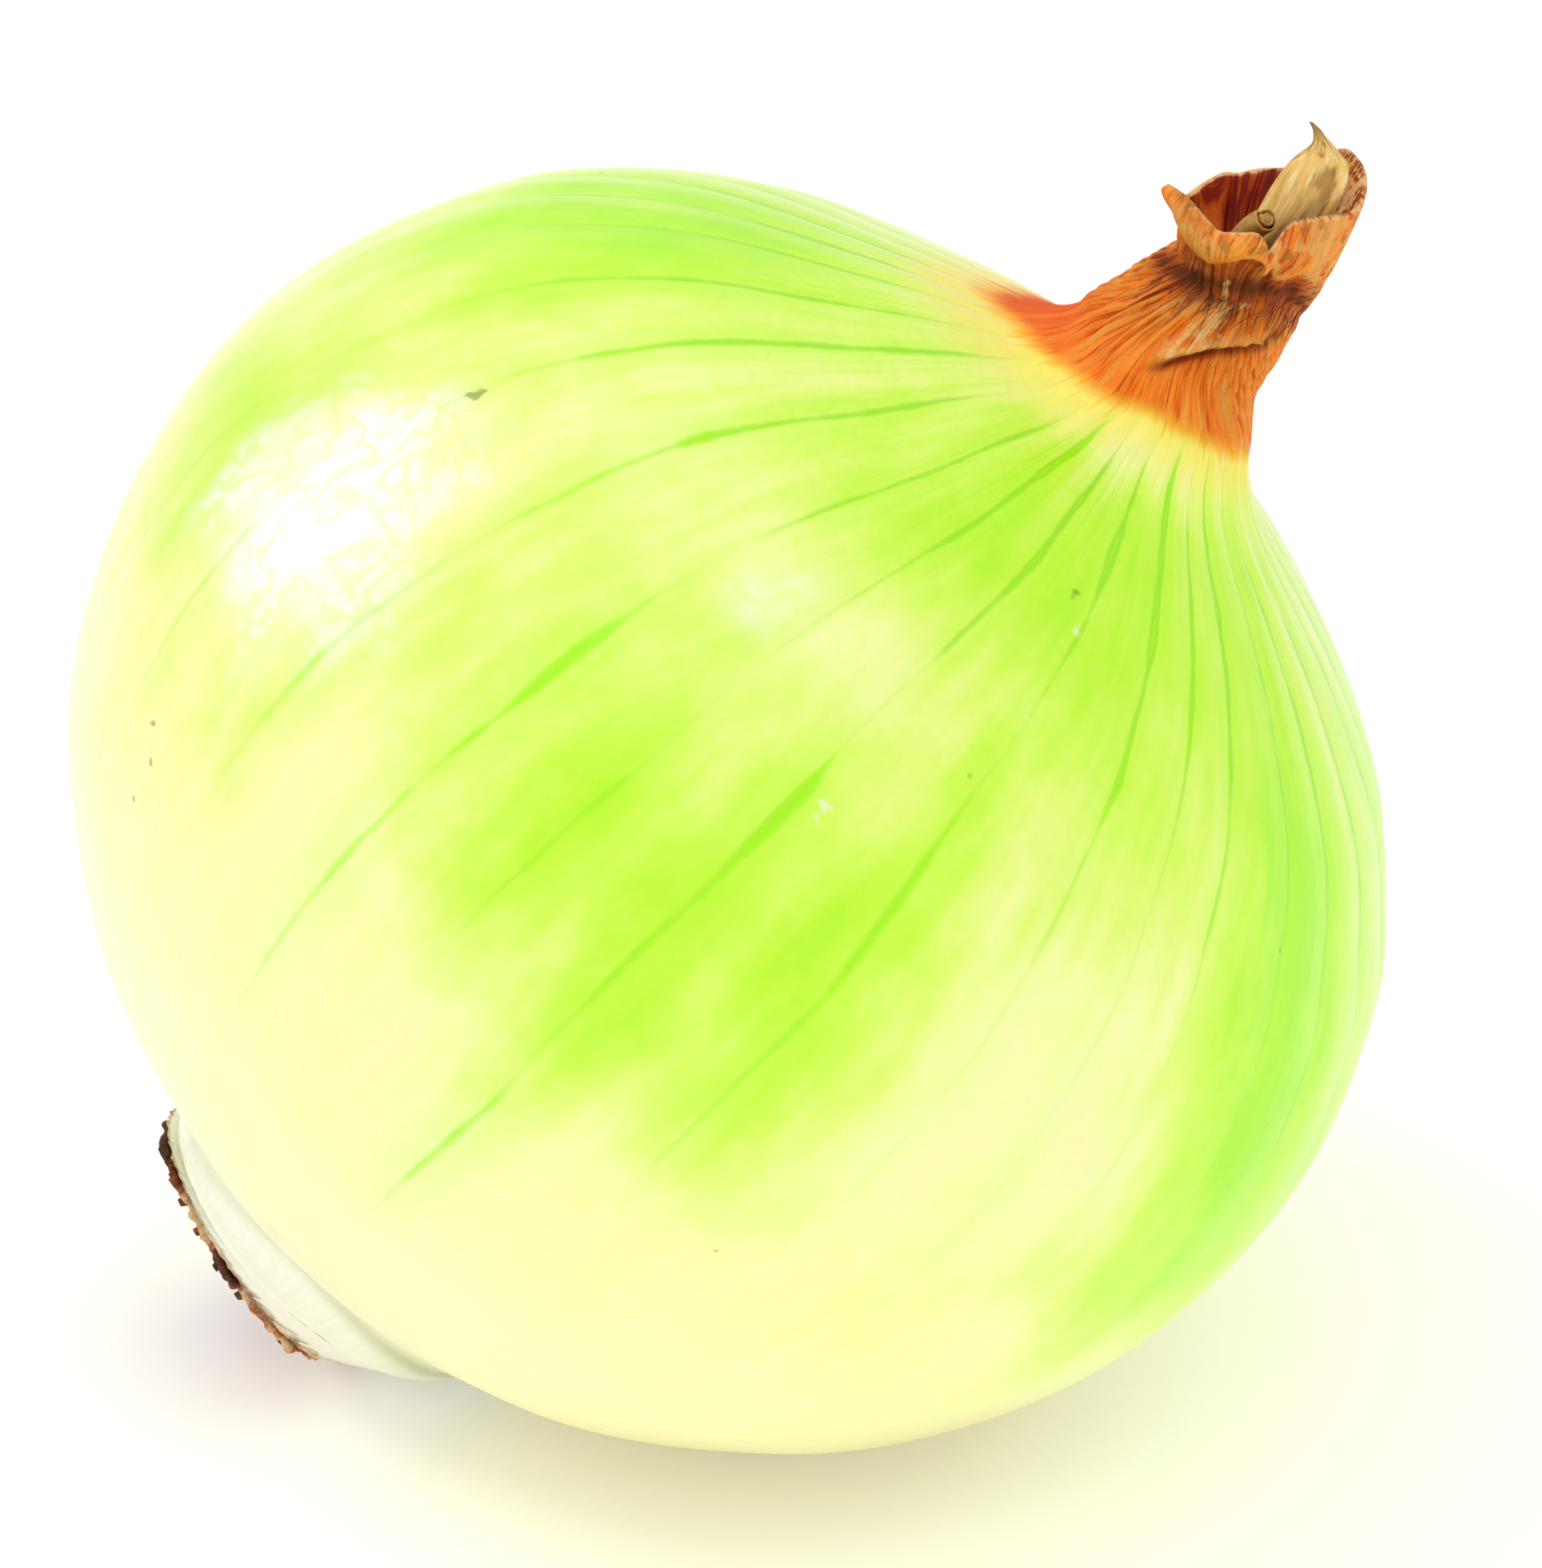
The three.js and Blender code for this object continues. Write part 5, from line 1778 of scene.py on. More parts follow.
@dataclass
class MouthBlade:
    """The pale blade that stands in the mouth and ends in a small point.

    Attributes:
        edges: Points along its left and right edges, from its foot to its tip.
        belly: How far it bows out in the middle, in millimetres.
        thickness: Its thickness in the middle.
        ripple_height: The height of its fine ripples.
        shadow_heights: The heights between which its painted shadow fades out.
        columns: How many columns each of its sides has.
        rows_per_span: How many rows it has from one pair of points to the next.
        open_side: The direction in which it bows.
    """

    edges: tuple[tuple[tuple[float, float, float], tuple[float, float, float]], ...] = (
        ((-0.35, -0.6, 42.5), (1.7, 0.4, 42.7)),
        ((-1.5, 0.1, 44.3), (1.95, 0.35, 46.2)),
        ((-1.9, 0.65, 46.6), (1.3, 0.45, 49.75)),
        ((-2.15, 1.05, 48.1), (0.95, 1.1, 51.0)),
        ((-2.15, 1.7, 49.55), (0.45, 1.7, 51.6)),
        ((-1.95, 2.1, 50.2), (-0.15, 2.0, 51.7)),
        ((-1.75, 2.3, 51.0), (-0.85, 2.3, 51.8)),
        ((-1.85, 2.5, 51.3), (-1.3, 2.5, 51.8)),
        ((-2.15, 2.6, 51.6), (-1.8, 2.6, 51.9)),
        ((-2.6, 2.8, 51.8), (-2.4, 2.75, 51.9)),
    )
    belly: float = 0.9
    thickness: float = 0.5
    ripple_height: float = 0.07
    shadow_heights: tuple[float, float] = (43.0, 46.0)
    columns: int = 32
    rows_per_span: int = 8
    open_side: tuple[float, float, float] = (-0.31, -0.88, 0.36)

    def build(self) -> bpy.types.Object:
        """Makes the blade.

        Returns:
            The piece.
        """
        left = smooth_curve([pair[0] for pair in self.edges], self.rows_per_span)
        right = smooth_curve([pair[1] for pair in self.edges], self.rows_per_span)
        share = np.linspace(0.0, 1.0, self.columns)
        width = np.linalg.norm(right - left, axis=1)
        belly = np.minimum(self.belly, 0.35 * width)
        side = unit(self.open_side)
        front = left[:, None, :] + share[None, :, None] * (right - left)[:, None, :]
        arch = 4 * share * (1 - share)
        ripple = RippleField(2, range(5, 26, 2), 0.25)
        rows = np.arange(len(left))[:, None]
        fine = self.ripple_height * ripple.at(2.0 * share[None, :] * math.pi, rows * 0.2)
        front = front + side * (arch[None, :] * belly[:, None] + fine)[:, :, None]
        lens = self.thickness * (0.25 + 0.75 * arch)[None, :, None]
        back = front - side * lens
        points = np.concatenate([back[:, ::-1], front], axis=1)
        around = np.concatenate([share[::-1], share, share[-1:]])
        return Surface(
            points=points, around=around, along=even_rows(points, 0.25),
            foot=points[0].mean(axis=0), top=points[-1].mean(axis=0),
            # Painted shadow: the blade darkens toward its foot, deep in the cup.
            tones={"shadow": 1.0 - smoothstep(points[:, :, 2], *self.shadow_heights)},
        ).mesh("mouth_blade")


@dataclass
class CoreRoll:
    """The small rolled leaf whose cut end shows in the mouth.

    Attributes:
        route: The points that its middle runs through.
        radius: Its radius where it is widest, in millimetres.
        step: How far its radius falls in a full turn.
        open_turn: The turn of its cut end where the painted shadow is darkest, in radians.
        columns: How many columns it has.
        rag: How far its cut end stands up and down.
        end: The cut end from its rim inward: share of the radius, height over the rim, painted shadow.
    """

    route: tuple[tuple[float, float, float], ...] = (
        (-1.6, -1.1, 42.6),
        (-1.95, -1.45, 44.4),
        (-2.1, -1.8, 46.3),
        (-2.15, -2.5, 47.35),
    )
    radius: float = 0.85
    step: float = 0.28
    open_turn: float = 2.4
    columns: int = 64
    rag: float = 0.05
    end: tuple[tuple[float, float, float], ...] = (
        (0.97, 0.04, 0.1), (0.9, 0.06, 0.0), (0.83, 0.0, 0.2), (0.79, -0.25, 1.0), (0.7, -0.42, 1.0),
        (0.62, -0.25, 1.0), (0.58, 0.02, 0.35), (0.5, 0.08, 0.1), (0.4, 0.1, 0.15), (0.33, 0.04, 0.7),
        (0.27, 0.1, 0.1), (0.14, 0.12, 0.25),
    )

    def build(self) -> bpy.types.Object:
        """Makes the roll.

        Returns:
            The piece.
        """
        line = smooth_curve(self.route, 8)
        forward = np.gradient(line, axis=0)
        forward /= np.linalg.norm(forward, axis=1, keepdims=True)
        across = np.cross(forward, [0.0, 1.0, 0.0])
        across /= np.linalg.norm(across, axis=1, keepdims=True)
        upward = np.cross(forward, across)
        turn = np.linspace(0.0, 2 * math.pi, self.columns, endpoint=False)
        reach = self.radius - self.step * turn / (2 * math.pi)
        spokes = np.cos(turn)[None, :, None] * across[:, None, :]
        spokes = spokes + np.sin(turn)[None, :, None] * upward[:, None, :]
        side = line[:, None, :] + reach[None, :, None] * spokes
        shares, heights, shadows = (np.array(column) for column in zip(*self.end))
        cut = line[-1] + shares[:, None, None] * reach[None, :, None] * spokes[-1][None]
        ragged = self.rag * RippleField(4, range(3, 14), 0.0).round(turn)
        lift = heights[:, None] + shares[:, None] * ragged[None, :]
        cut = cut + lift[:, :, None] * forward[-1]
        points = np.concatenate([side, cut])
        # Painted shadow in the gap between the cut end's turns, darkest toward open_turn.
        painted_light_weight = 0.3 + 0.7 * smoothstep(np.cos(turn - self.open_turn), -0.5, 0.5)
        shadow = np.concatenate([np.zeros((len(side), len(turn))), shadows[:, None] * painted_light_weight[None, :]])
        return Surface(
            points=points, around=np.linspace(0.0, 1.0, self.columns + 1),
            along=even_rows(points, 0.2), foot=line[0], top=points[-1].mean(axis=0),
            tones={"shadow": shadow},
        ).mesh("core_roll")


@dataclass(frozen=True)
class RimAxes:
    """The root rim's own axes: +Z toward the bulb, the origin in the middle of the rim."""

    centre: tuple[float, float, float] = (-2.65, 0.1, -43.2)
    tilt: float = 15.5
    roll: float = 5.0

    def placed(self, points: np.ndarray) -> np.ndarray:
        """Points about the rim's axes, moved to the onion's."""
        roll = Matrix.Rotation(-math.radians(self.roll), 3, "X")
        tilt = Matrix.Rotation(math.radians(self.tilt), 3, "Y")
        return points @ np.array(roll @ tilt).T + np.array(self.centre)

    def on_axis(self, height: float) -> np.ndarray:
        """The point at this height on the rim's axis, about the onion's axes."""
        return self.placed(np.array([[0.0, 0.0, height]]))[0]


RIM = RimAxes()


def level_rings(
    rings: Sequence[tuple[float, float]], azimuth: np.ndarray, rag: Union[np.ndarray, float] = 0.0,
) -> np.ndarray:
    """Level rings about an axis.

    Args:
        rings: Each ring's radius and height.
        azimuth: Each column's azimuth, in radians.
        rag: How far each ring's points stand off its radius.

    Returns:
        The rings' points.
    """
    radius, height = (np.array(column, float)[:, None] for column in zip(*rings))
    points = (radius + rag + 0.0 * azimuth)[:, :, None] * directions(azimuth)
    points[:, :, 2] = height
    return points


@dataclass
class RootPlate:
    """The cream stub of stem at the root end, with a dished face.

    Attributes:
        rim_radius: The radius of its rim, in millimetres.
        top_radius: Its radius where it meets the scale.
        face_depth: How deep its face is dished.
        swell: How far its flank bulges.
        fibre_height: The height of the fibres on its flank.
        collar_height: How far the torn collar and its rags stand out by the rim.
        columns: How many columns it has.
        flank_rows: How many rows its flank has.
    """

    rim_radius: float = 8.75
    top_radius: float = 11.1
    face_depth: float = 1.1
    swell: float = 0.12
    fibre_height: float = 0.05
    collar_height: float = 0.16
    columns: int = 320
    flank_rows: int = 40

    def build(self) -> bpy.types.Object:
        """Makes the plate.

        Returns:
            The piece.
        """
        azimuth = np.linspace(0.0, 2 * math.pi, self.columns, endpoint=False)
        face = [(self.rim_radius - 1.7, 0.6), (self.rim_radius - 0.6, 0.0), (self.rim_radius, 0.05)]
        rim = RIM.placed(level_rings(face, azimuth))
        offset = BULB_MERIDIAN[0][2]
        joint = [(self.top_radius - 0.4, LIP_LINE - 0.2), (self.top_radius + 0.1, LIP_LINE - 0.15)]
        hidden, lip = level_rings(joint, azimuth) + np.array([offset, 0.0, 0.0])
        fibres = RippleField(9, range(25, 110, 5), 0.3)
        torn_line = 0.2 + 0.15 * RippleField(41, range(9, 58, 5), 0.0).round(azimuth)
        ragged = RippleField(42, range(11, 90, 6), 0.0).round(azimuth)
        rows = [rim[0], rim[1]]
        tones = [np.ones(self.columns), np.ones(self.columns)]
        for share in np.linspace(0.0, 1.0, self.flank_rows):
            collar = 1.0 - smoothstep(share - torn_line, -0.03, 0.03)
            rags = collar + ragged * (1.0 - smoothstep(share, 0.0, 0.12))
            swell = self.swell * math.sin(math.pi * share) + self.collar_height * rags
            fibre = fibres.at(azimuth, np.full_like(azimuth, 3 * share))
            swell = swell + self.fibre_height * fibre
            rows.append(rim[2] + share * (lip - rim[2]) + directions(azimuth) * swell[:, None])
            tones.append(collar * (1.0 - share / 0.6))
        rows.append(hidden)
        tones.append(np.zeros(self.columns))
        points = np.array(rows)
        return Surface(
            points=points, around=np.linspace(0.0, 1.0, self.columns + 1),
            along=even_rows(points, 0.2), foot=RIM.on_axis(self.face_depth),
            top=np.array([offset, 0.0, LIP_LINE + LIP_HOLLOW - 0.6]),
            tones={"rim": np.clip(np.array(tones), 0.0, 1.0)},
        ).mesh("root_plate")


class Sprouts:
    """Bent, tapered stems that grow from the points of a mesh, made by Geometry Nodes."""

    def __init__(
        self, name: str, radius: float, bend: float, seed: int, material: bpy.types.Material,
    ) -> None:
        """Keeps what the stems are like.

        Args:
            name: The finished piece's name.
            radius: Each stem's radius at its foot, in millimetres.
            bend: How far a stem bows, in millimetres.
            seed: Fixes how each stem is turned.
            material: The stems' material.
        """
        self.name = name
        self.radius = radius
        self.bend = bend
        self.seed = seed
        self.material = material

    def _node(
        self, kind: str, sockets: Sockets = None, output: Union[str, int] = 0, **settings: Any,
    ) -> bpy.types.NodeSocket:
        """Adds a node to the group.

        Args:
            kind: The node's type.
            sockets: Values or sockets for its inputs.
            output: The output that is asked for, by name or by number.
            settings: Its properties.

        Returns:
            The output.
        """
        return add_node(self.group, kind, settings, sockets).outputs[output]

    def _make_group(self) -> dict[str, str]:
        """Builds the node group and gives each input's identifier by its name."""
        self.group = bpy.data.node_groups.new(self.name + "_growth", "GeometryNodeTree")
        face = self.group.interface
        face.new_socket("Geometry", in_out="INPUT", socket_type="NodeSocketGeometry")
        kinds = {"Radius": "Float", "Bend": "Float", "Seed": "Int", "Material": "Material"}
        for title, kind in kinds.items():
            face.new_socket(title, in_out="INPUT", socket_type="NodeSocket" + kind)
        face.new_socket("Geometry", in_out="OUTPUT", socket_type="NodeSocketGeometry")
        given = add_node(self.group, "NodeGroupInput").outputs
        stem = self._stem(given["Radius"], given["Bend"])
        named = "GeometryNodeInputNamedAttribute"
        toward = self._node(named, {"Name": "toward"}, data_type="FLOAT_VECTOR")
        reach = self._node(named, {"Name": "reach"}, data_type="FLOAT")
        stretch = self._node("ShaderNodeCombineXYZ", {0: 1.0, 1: 1.0, 2: reach})
        aimed = self._node("FunctionNodeAlignRotationToVector", {"Vector": toward}, axis="Z")
        turn = self._node("FunctionNodeRotateRotation", {
            0: aimed, 1: self._spin(given["Seed"]),
        }, rotation_space="LOCAL")
        points = self._node("GeometryNodeMeshToPoints", {"Mesh": given["Geometry"]})
        grown = self._node("GeometryNodeInstanceOnPoints", {
            "Points": points, "Instance": stem, "Rotation": turn, "Scale": stretch,
        })
        solid = self._node("GeometryNodeRealizeInstances", {"Geometry": grown})
        painted = self._node("GeometryNodeSetMaterial", {
            "Geometry": solid, "Material": given["Material"],
        })
        add_node(self.group, "NodeGroupOutput", None, {0: painted})
        return {item.name: item.identifier for item in face.items_tree if item.in_out == "INPUT"}

    def _stem(self, radius: bpy.types.NodeSocket, bend: bpy.types.NodeSocket) -> bpy.types.NodeSocket:
        """One upright stem, a unit long, that thins to half its radius."""
        middle = self._node("ShaderNodeCombineXYZ", {0: bend, 2: 0.5})
        line = self._node("GeometryNodeCurveQuadraticBezier", {
            "Resolution": 7, "Start": (0.0, 0.0, 0.0), "Middle": middle, "End": (0.0, 0.0, 1.0),
        })
        way = self._node("GeometryNodeSplineParameter", output="Factor")
        taper = self._node("ShaderNodeMath", {0: way, 1: -0.5, 2: 1.0}, operation="MULTIPLY_ADD")
        tapered = self._node("GeometryNodeSetCurveRadius", {"Curve": line, "Radius": taper})
        circle = self._node("GeometryNodeCurvePrimitiveCircle", {"Resolution": 7, "Radius": radius})
        tube = add_node(self.group, "GeometryNodeCurveToMesh", None, {
            "Curve": tapered, "Profile Curve": circle, "Fill Caps": True,
        })
        if "Scale" in tube.inputs:
            self.group.links.new(taper, tube.inputs["Scale"])
        return tube.outputs[0]

    def _spin(self, seed: bpy.types.NodeSocket) -> bpy.types.NodeSocket:
        """A seeded turn about each stem's own length."""
        spin = add_node(self.group, "FunctionNodeRandomValue", {"data_type": "FLOAT"}, {"Seed": seed})
        for socket in spin.inputs:
            if socket.name == "Max" and socket.type == "VALUE":
                socket.default_value = 2 * math.pi
        number = next(socket for socket in spin.outputs if socket.type == "VALUE" and socket.enabled)
        about_length = self._node("ShaderNodeCombineXYZ", {2: number})
        return self._node("FunctionNodeEulerToRotation", {0: about_length})

    def grow(self, feet: np.ndarray, toward: np.ndarray, reach: np.ndarray) -> bpy.types.Object:
        """Grows the stems.

        Args:
            feet: Where each stem starts, about the onion's axis, in millimetres.
            toward: Which way each one points, about the onion's axis.
            reach: How long each one is, in millimetres.

        Returns:
            One plain mesh of them all.
        """
        turn = np.array(AXES.matrix())[:3, :3]
        data = bpy.data.meshes.new(self.name + "_feet")
        data.from_pydata(AXES.to_row(feet).tolist(), [], [])
        headings = data.attributes.new("toward", "FLOAT_VECTOR", "POINT")
        headings.data.foreach_set("vector", (toward @ turn.T).astype(np.float32).ravel())
        lengths = data.attributes.new("reach", "FLOAT", "POINT")
        lengths.data.foreach_set("value", (reach * MILLIMETRE).astype(np.float32))
        holder = add_object(self.name + "_feet", data)
        sockets = self._make_group()
        growth = holder.modifiers.new("growth", "NODES")
        growth.node_group = self.group
        growth[sockets["Radius"]] = self.radius * MILLIMETRE
        growth[sockets["Bend"]] = self.bend * MILLIMETRE
        growth[sockets["Seed"]] = self.seed
        growth[sockets["Material"]] = self.material
        bpy.context.view_layer.update()
        evaluated = holder.evaluated_get(bpy.context.evaluated_depsgraph_get())
        mesh = bpy.data.meshes.new_from_object(evaluated)
        mesh.name = self.name
        mesh.shade_smooth()
        bpy.data.objects.remove(holder)
        return add_object(self.name, mesh)


@dataclass
class RootCrown:
    """The dried crust of roots in the plate's face: a ragged disc with short stubs.

    Attributes:
        radius: The disc's radius, in millimetres.
        depth: How far it stands out of the face.
        gap: How far it stays clear of the plate.
        rag: How ragged its edge is.
        lump_height: The height of its lumps.
        columns: How many columns it has.
        sectors: Azimuths in degrees, each with how far the edge stands out there, and its tint.
        root_rings: The distance of each ring of stubs from the middle, and how many it has.
        root_radius: A stub's radius.
        root_length: A stub's length.
        root_sunk: How deep a stub starts in the disc.
    """

    radius: float = 8.6
    depth: float = 0.7
    gap: float = 0.3
    rag: float = 0.34
    lump_height: float = 0.12
    columns: int = 300
    sectors: tuple[tuple[float, float, float], ...] = (
        (-180, 1.0, 0.0), (-162, 1.0, 0.0), (-152, 0.7, 0.3), (-144, 0.0, 1.0), (-118, -0.1, 1.0),
        (-112, 0.5, 0.2), (-107, 1.0, 0.0), (-101, 0.5, 0.1), (-95, -0.2, 1.0), (-80, 0.3, 0.8),
        (-66, 0.8, 0.9), (-52, 0.7, 0.7), (-36, 0.6, 1.0), (-20, 0.3, 0.8), (40, 0.5, 0.4),
        (100, 0.4, 0.5), (150, 0.6, 0.1), (180, 1.0, 0.0),
    )
    root_rings: tuple[tuple[float, int], ...] = ((1.2, 4), (3.1, 9), (4.9, 14), (6.8, 19))
    root_radius: float = 0.5
    root_length: float = 1.1
    root_sunk: float = 0.5

    def build(self, bark: bpy.types.Material) -> bpy.types.Object:
        """Makes the crown.

        Args:
            bark: Its material.

        Returns:
            The piece.
        """
        crust = self._crust()
        crust.data.materials.append(bark)
        stubs = self._stubs(bark)
        both = [crust, stubs]
        with bpy.context.temp_override(
            active_object=crust, object=crust, selected_objects=both, selected_editable_objects=both,
        ):
            bpy.ops.object.join()
        return crust

    def _crust(self) -> bpy.types.Object:
        """The ragged disc."""
        azimuth = np.linspace(0.0, 2 * math.pi, self.columns, endpoint=False)
        coarse = RippleField(31, range(6, 30), 0.0).round(azimuth)
        fine = RippleField(32, range(30, 120, 3), 0.0).round(azimuth)
        bumps = RippleField(33, range(5, 70, 2), 2.5)
        front = [
            (1.5, -0.35), (3.0, -0.35), (4.5, -0.4), (5.6, -0.45), (6.4, -0.45), (7.2, -0.65),
            (7.9, -0.1 - self.depth), (8.3, -0.05 - self.depth), (self.radius, -self.depth),
            (self.radius + 0.05, -0.5 * (self.depth + self.gap)),
        ]
        back = [(self.radius, -self.gap), (8.3, -self.gap + 0.05), (7.9, -self.gap), (6.7, 0.2)]
        outline = [*front, *back]
        radius = np.array([radius for radius, _ in outline])[:, None]
        near = radius / self.radius
        points = level_rings(outline, azimuth, near ** 4 * self.rag * (coarse + 0.8 * fine))
        at, out, tint = zip(*self.sectors)
        degrees = turned(np.degrees(azimuth), 0.0)
        sunk = 1.0 - np.interp(degrees, at, out)
        points[:, :, :2] *= (1.0 - 0.1 * np.clip(near, 0.0, 1.0) ** 6 * sunk)[:, :, None]
        lumps = self.lump_height * bumps.at(azimuth[None, :], radius[:len(front)])
        points[:len(front), :, 2] -= lumps
        points[:, :, 2] = np.maximum(points[:, :, 2], -1.0)
        points = RIM.placed(points)[::-1]
        tints = np.broadcast_to(np.interp(degrees, at, tint), points.shape[:2])
        return Surface(
            points=points, around=np.linspace(0.0, 1.0, self.columns + 1),
            along=even_rows(points, 0.4), foot=RIM.on_axis(0.45), top=RIM.on_axis(-0.35),
            facing=Facing.BACK, tones={"tint": tints},
        ).mesh("root_crust")

    def _stubs(self, bark: bpy.types.Material) -> bpy.types.Object:
        """The stubs, in rings about the rim's axis."""
        draw = np.random.default_rng(17)
        feet, toward, reach = [], [], []
        for distance, amount in self.root_rings:
            for i in range(amount):
                share = draw.random()
                azimuth = 2 * math.pi * (i + 0.4 * share) / amount
                lean = math.radians(1.5 * distance + 8 * (share - 0.5))
                out = np.array([math.cos(azimuth), math.sin(azimuth), 0.0])
                feet.append(out * distance + np.array([0.0, 0.0, self.root_sunk - 0.6]))
                toward.append(out * math.sin(lean) + np.array([0.0, 0.0, -math.cos(lean)]))
                longest = 1.2 if distance < 6.0 else 0.95
                reach.append(self.root_length * (0.5 + (longest - 0.5) * share) + 0.3)
        headings = RIM.placed(np.array(toward)) - RIM.on_axis(0.0)
        growth = Sprouts("root_stubs", self.root_radius, 0.18, 23, bark)
        return growth.grow(RIM.placed(np.array(feet)), headings, np.array(reach))


@dataclass
class NeckFringe:
    """The stiff hairs of torn skin that stand along the neck's dark fold.

    Attributes:
        amount: How many hairs there are.
        first: The bearing at which they start, in degrees.
        last: The bearing at which they end.
        thickness: A hair's radius at its foot, in millimetres.
        bend: How far a hair bows.
        sunk: How deep its foot lies in the skin.
    """

    amount: int = 90
    first: float = -52.0
    last: float = 56.0
    thickness: float = 0.032
    bend: float = 0.12
    sunk: float = 0.1

    def build(self, skin: bpy.types.Material) -> bpy.types.Object:
        """Makes the hairs.

        Args:
            skin: Their material.

        Returns:
            One piece of them all.
        """
        draw = np.random.default_rng(51)
        bearing = np.sort(draw.uniform(self.first, self.last, self.amount))
        below = draw.uniform(0.1, 1.5, self.amount)
        height = along_line(bearing, OuterScale.shadow_line) - below
        level, radii, offsets = zip(*NECK_SECTIONS)
        turn = np.radians(bearing + FRONT)
        out = directions(turn)
        feet = out * (np.interp(height, level, radii) - self.sunk)[:, None]
        feet[:, 0] += np.interp(height, level, offsets)
        feet[:, 2] = height
        along = directions(turn + math.pi / 2)
        down = np.array([0.0, 0.0, -1.0])
        aside = draw.uniform(-0.5, 0.5, self.amount)
        lift = draw.uniform(0.15, 0.4, self.amount)
        toward = down + out * lift[:, None] + along * aside[:, None]
        toward /= np.linalg.norm(toward, axis=1, keepdims=True)
        reach = draw.uniform(0.6, 1.7, self.amount)
        growth = Sprouts("neck_fringe", self.thickness, self.bend, 29, skin)
        return growth.grow(feet, toward, reach)


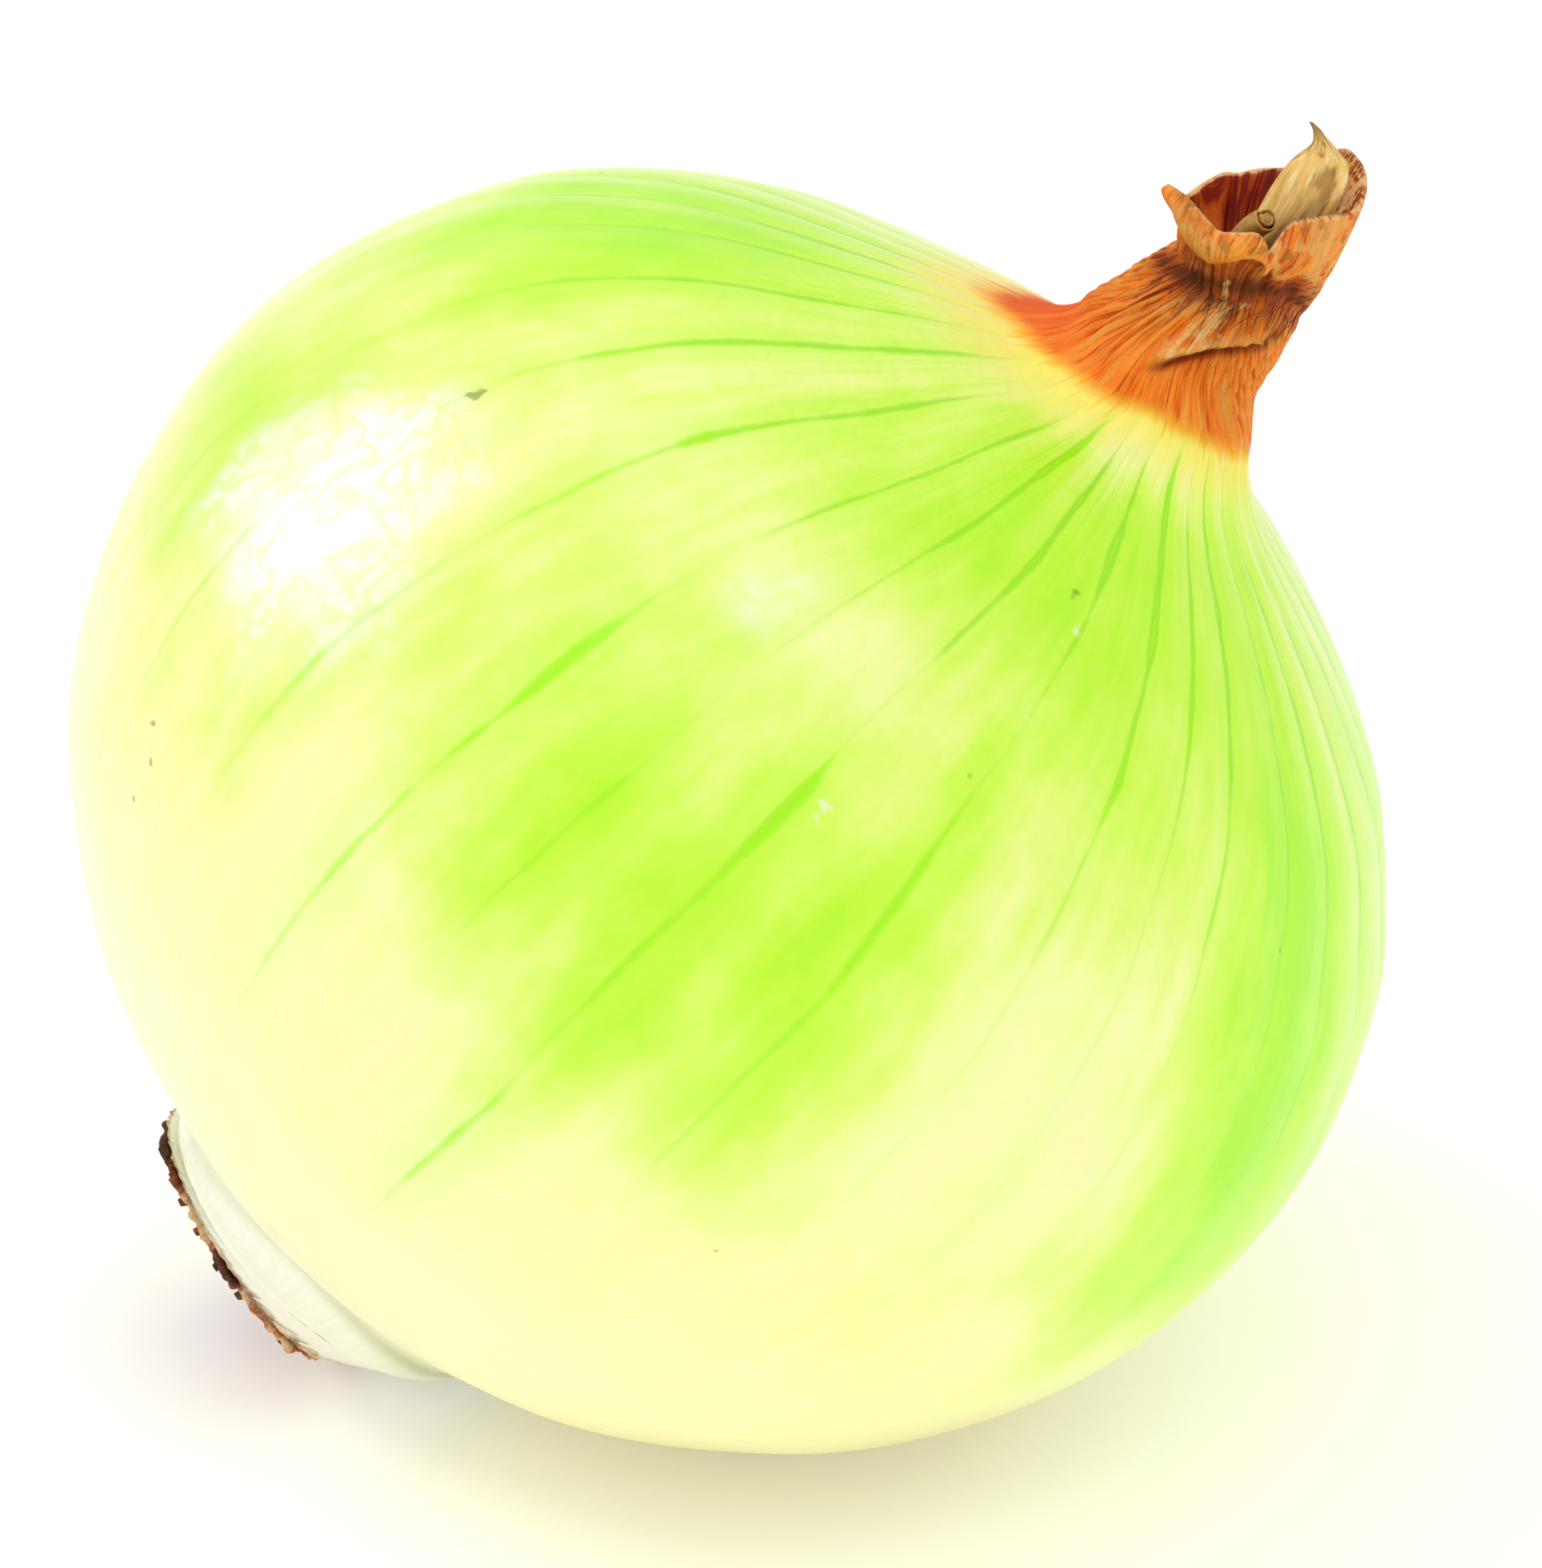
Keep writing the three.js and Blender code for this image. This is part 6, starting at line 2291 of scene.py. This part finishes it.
@dataclass
class Studio:
    """The pale floor, the soft lights and the camera.

    Attributes:
        elevation: How far the camera looks down, in degrees.
        distance: How far it stands from its aim, in metres.
        lens: Its focal length, in millimetres.
        aim_right: How far right of the bulb's middle it aims, in millimetres.
        aim_up: How far above the bulb's middle it aims.
        floor_half: Half the floor's side, in metres.
        surround: How bright the white surround is.
        lights: Each light's name, direction, distance, side and power.
    """

    elevation: float = 28.0
    distance: float = 0.5
    lens: float = 195.25
    aim_right: float = 1.19
    aim_up: float = -0.14
    floor_half: float = 6.0
    surround: float = 0.71
    lights: tuple[tuple[str, tuple[float, float, float], float, float, float], ...] = (
        ("key_light", (-0.734, 0.316, 0.601), 0.62, 0.26, 0.8),
        ("top_light", (0.1, -0.4, 1.0), 0.9, 0.7, 2.2),
    )

    def build(self) -> None:
        """Sets the stage."""
        self._floor()
        self._world()
        for light in self.lights:
            self._softbox(*light)
        self._camera()
        bpy.context.scene.view_settings.view_transform = "Standard"

    def _floor(self) -> None:
        """A wide pale floor."""
        data = bpy.data.meshes.new("studio_floor")
        half = self.floor_half
        edge = [(-half, -half, 0), (half, -half, 0), (half, half, 0), (-half, half, 0)]
        data.from_pydata(edge, [], [(0, 1, 2, 3)])
        floor = add_object("studio_floor", data)
        paint = Painter("studio_floor_paint")
        mist = paint.mottle(paint.place(), 3.0)
        white = paint.blend(mist, shade(252, 252, 252), shade(255, 255, 255))
        data.materials.append(paint.finish(
            Base_Color=white, Roughness=0.9, Emission_Color=white, Emission_Strength=0.18,
        ))

    def _world(self) -> None:
        """An even white surround."""
        world = bpy.data.worlds.new("studio_surround")
        world.use_nodes = True
        background = world.node_tree.nodes["Background"].inputs
        background["Color"].default_value = (1.0, 1.0, 1.0, 1.0)
        background["Strength"].default_value = self.surround
        bpy.context.scene.world = world

    @staticmethod
    def _softbox(
        name: str, direction: tuple[float, float, float], distance: float, size: float, power: float,
    ) -> None:
        """A square area light turned toward the onion.

        Args:
            name: Its name.
            direction: From the onion to the light.
            distance: In metres.
            size: Its side, in metres.
            power: In watts.
        """
        data = bpy.data.lights.new(name, "AREA")
        data.shape = "SQUARE"
        data.size = size
        data.energy = power
        light = add_object(name, data)
        toward = Vector(direction).normalized()
        light.location = Vector(AXIS_ORIGIN) * MILLIMETRE + toward * distance
        light.rotation_euler = toward.to_track_quat("Z", "Y").to_euler()

    def _camera(self) -> None:
        """The camera that looks at the onion from the front, a little above."""
        elevation = math.radians(self.elevation)
        up = Vector((0.0, math.sin(elevation), math.cos(elevation)))
        back = Vector((0.0, -math.cos(elevation), math.sin(elevation)))
        right = Vector((1.0, 0.0, 0.0))
        aim = (Vector(AXIS_ORIGIN) + self.aim_right * right + self.aim_up * up) * MILLIMETRE
        data = bpy.data.cameras.new("studio_camera")
        data.lens = self.lens
        data.sensor_width = 36.0
        camera = add_object("studio_camera", data)
        camera.location = aim + back * self.distance
        camera.rotation_euler = (math.pi / 2 - elevation, 0.0, 0.0)
        bpy.context.scene.camera = camera


@dataclass
class Onion:
    """The whole onion."""

    skin: ScaleFinish = field(default_factory=ScaleFinish)
    blade: LeafFinish = LeafFinish(
        "mouth_blade_skin", base=shade(240, 194, 100), pale=shade(255, 236, 176),
        dark=shade(152, 98, 22), shadow=shade(70, 24, 4), fibre_scale=4.5,
    )
    roll: LeafFinish = LeafFinish(
        "core_roll_skin", base=shade(206, 150, 60), pale=shade(244, 204, 128),
        dark=shade(120, 70, 16), shadow=shade(34, 10, 2), fibre_scale=2.0,
    )
    plate: PlateFinish = field(default_factory=PlateFinish)
    bark: RootFinish = field(default_factory=RootFinish)
    hair: RootFinish = RootFinish(
        "neck_fringe_skin", dark=shade(96, 40, 8), brown=shade(176, 90, 26),
        russet=shade(226, 148, 70), tan=shade(248, 206, 148),
    )

    def build(self) -> None:
        """Makes every piece and says what each stands for."""
        scale = OuterScale()
        skin = dress(scale.build(), self.skin.flesh(), "flesh", "bulb", "neck_sheath")
        skin.data.materials.append(self.skin.neck())
        skin.data.materials.append(self.skin.highlighted_or_marked_flesh())
        scale.share_out(skin)
        hair = self.hair.material()
        dress(NeckFringe().build(hair), hair, "dry_skin")
        dress(MouthBlade().build(), self.blade.material(), "pale_leaf", "inner_leaf")
        dress(CoreRoll().build(), self.roll.material(), "core_leaf", "core_leaf")
        dress(RootPlate().build(), self.plate.material(), "plate_cream", "basal_plate")
        bark = self.bark.material()
        dress(RootCrown().build(bark), bark, "root_brown", "root_crown")


def corners(bounds: Any) -> list[list[float]]:
    """A pair of corners as plain lists."""
    return [[float(number) for number in corner] for corner in bounds]


def main() -> None:
    """Builds the studio and the onion."""
    logging.basicConfig(level=logging.INFO, format="%(name)s: %(message)s")
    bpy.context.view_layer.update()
    Studio().build()
    Onion().build()
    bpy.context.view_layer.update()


if __name__ == "__main__":
    main()
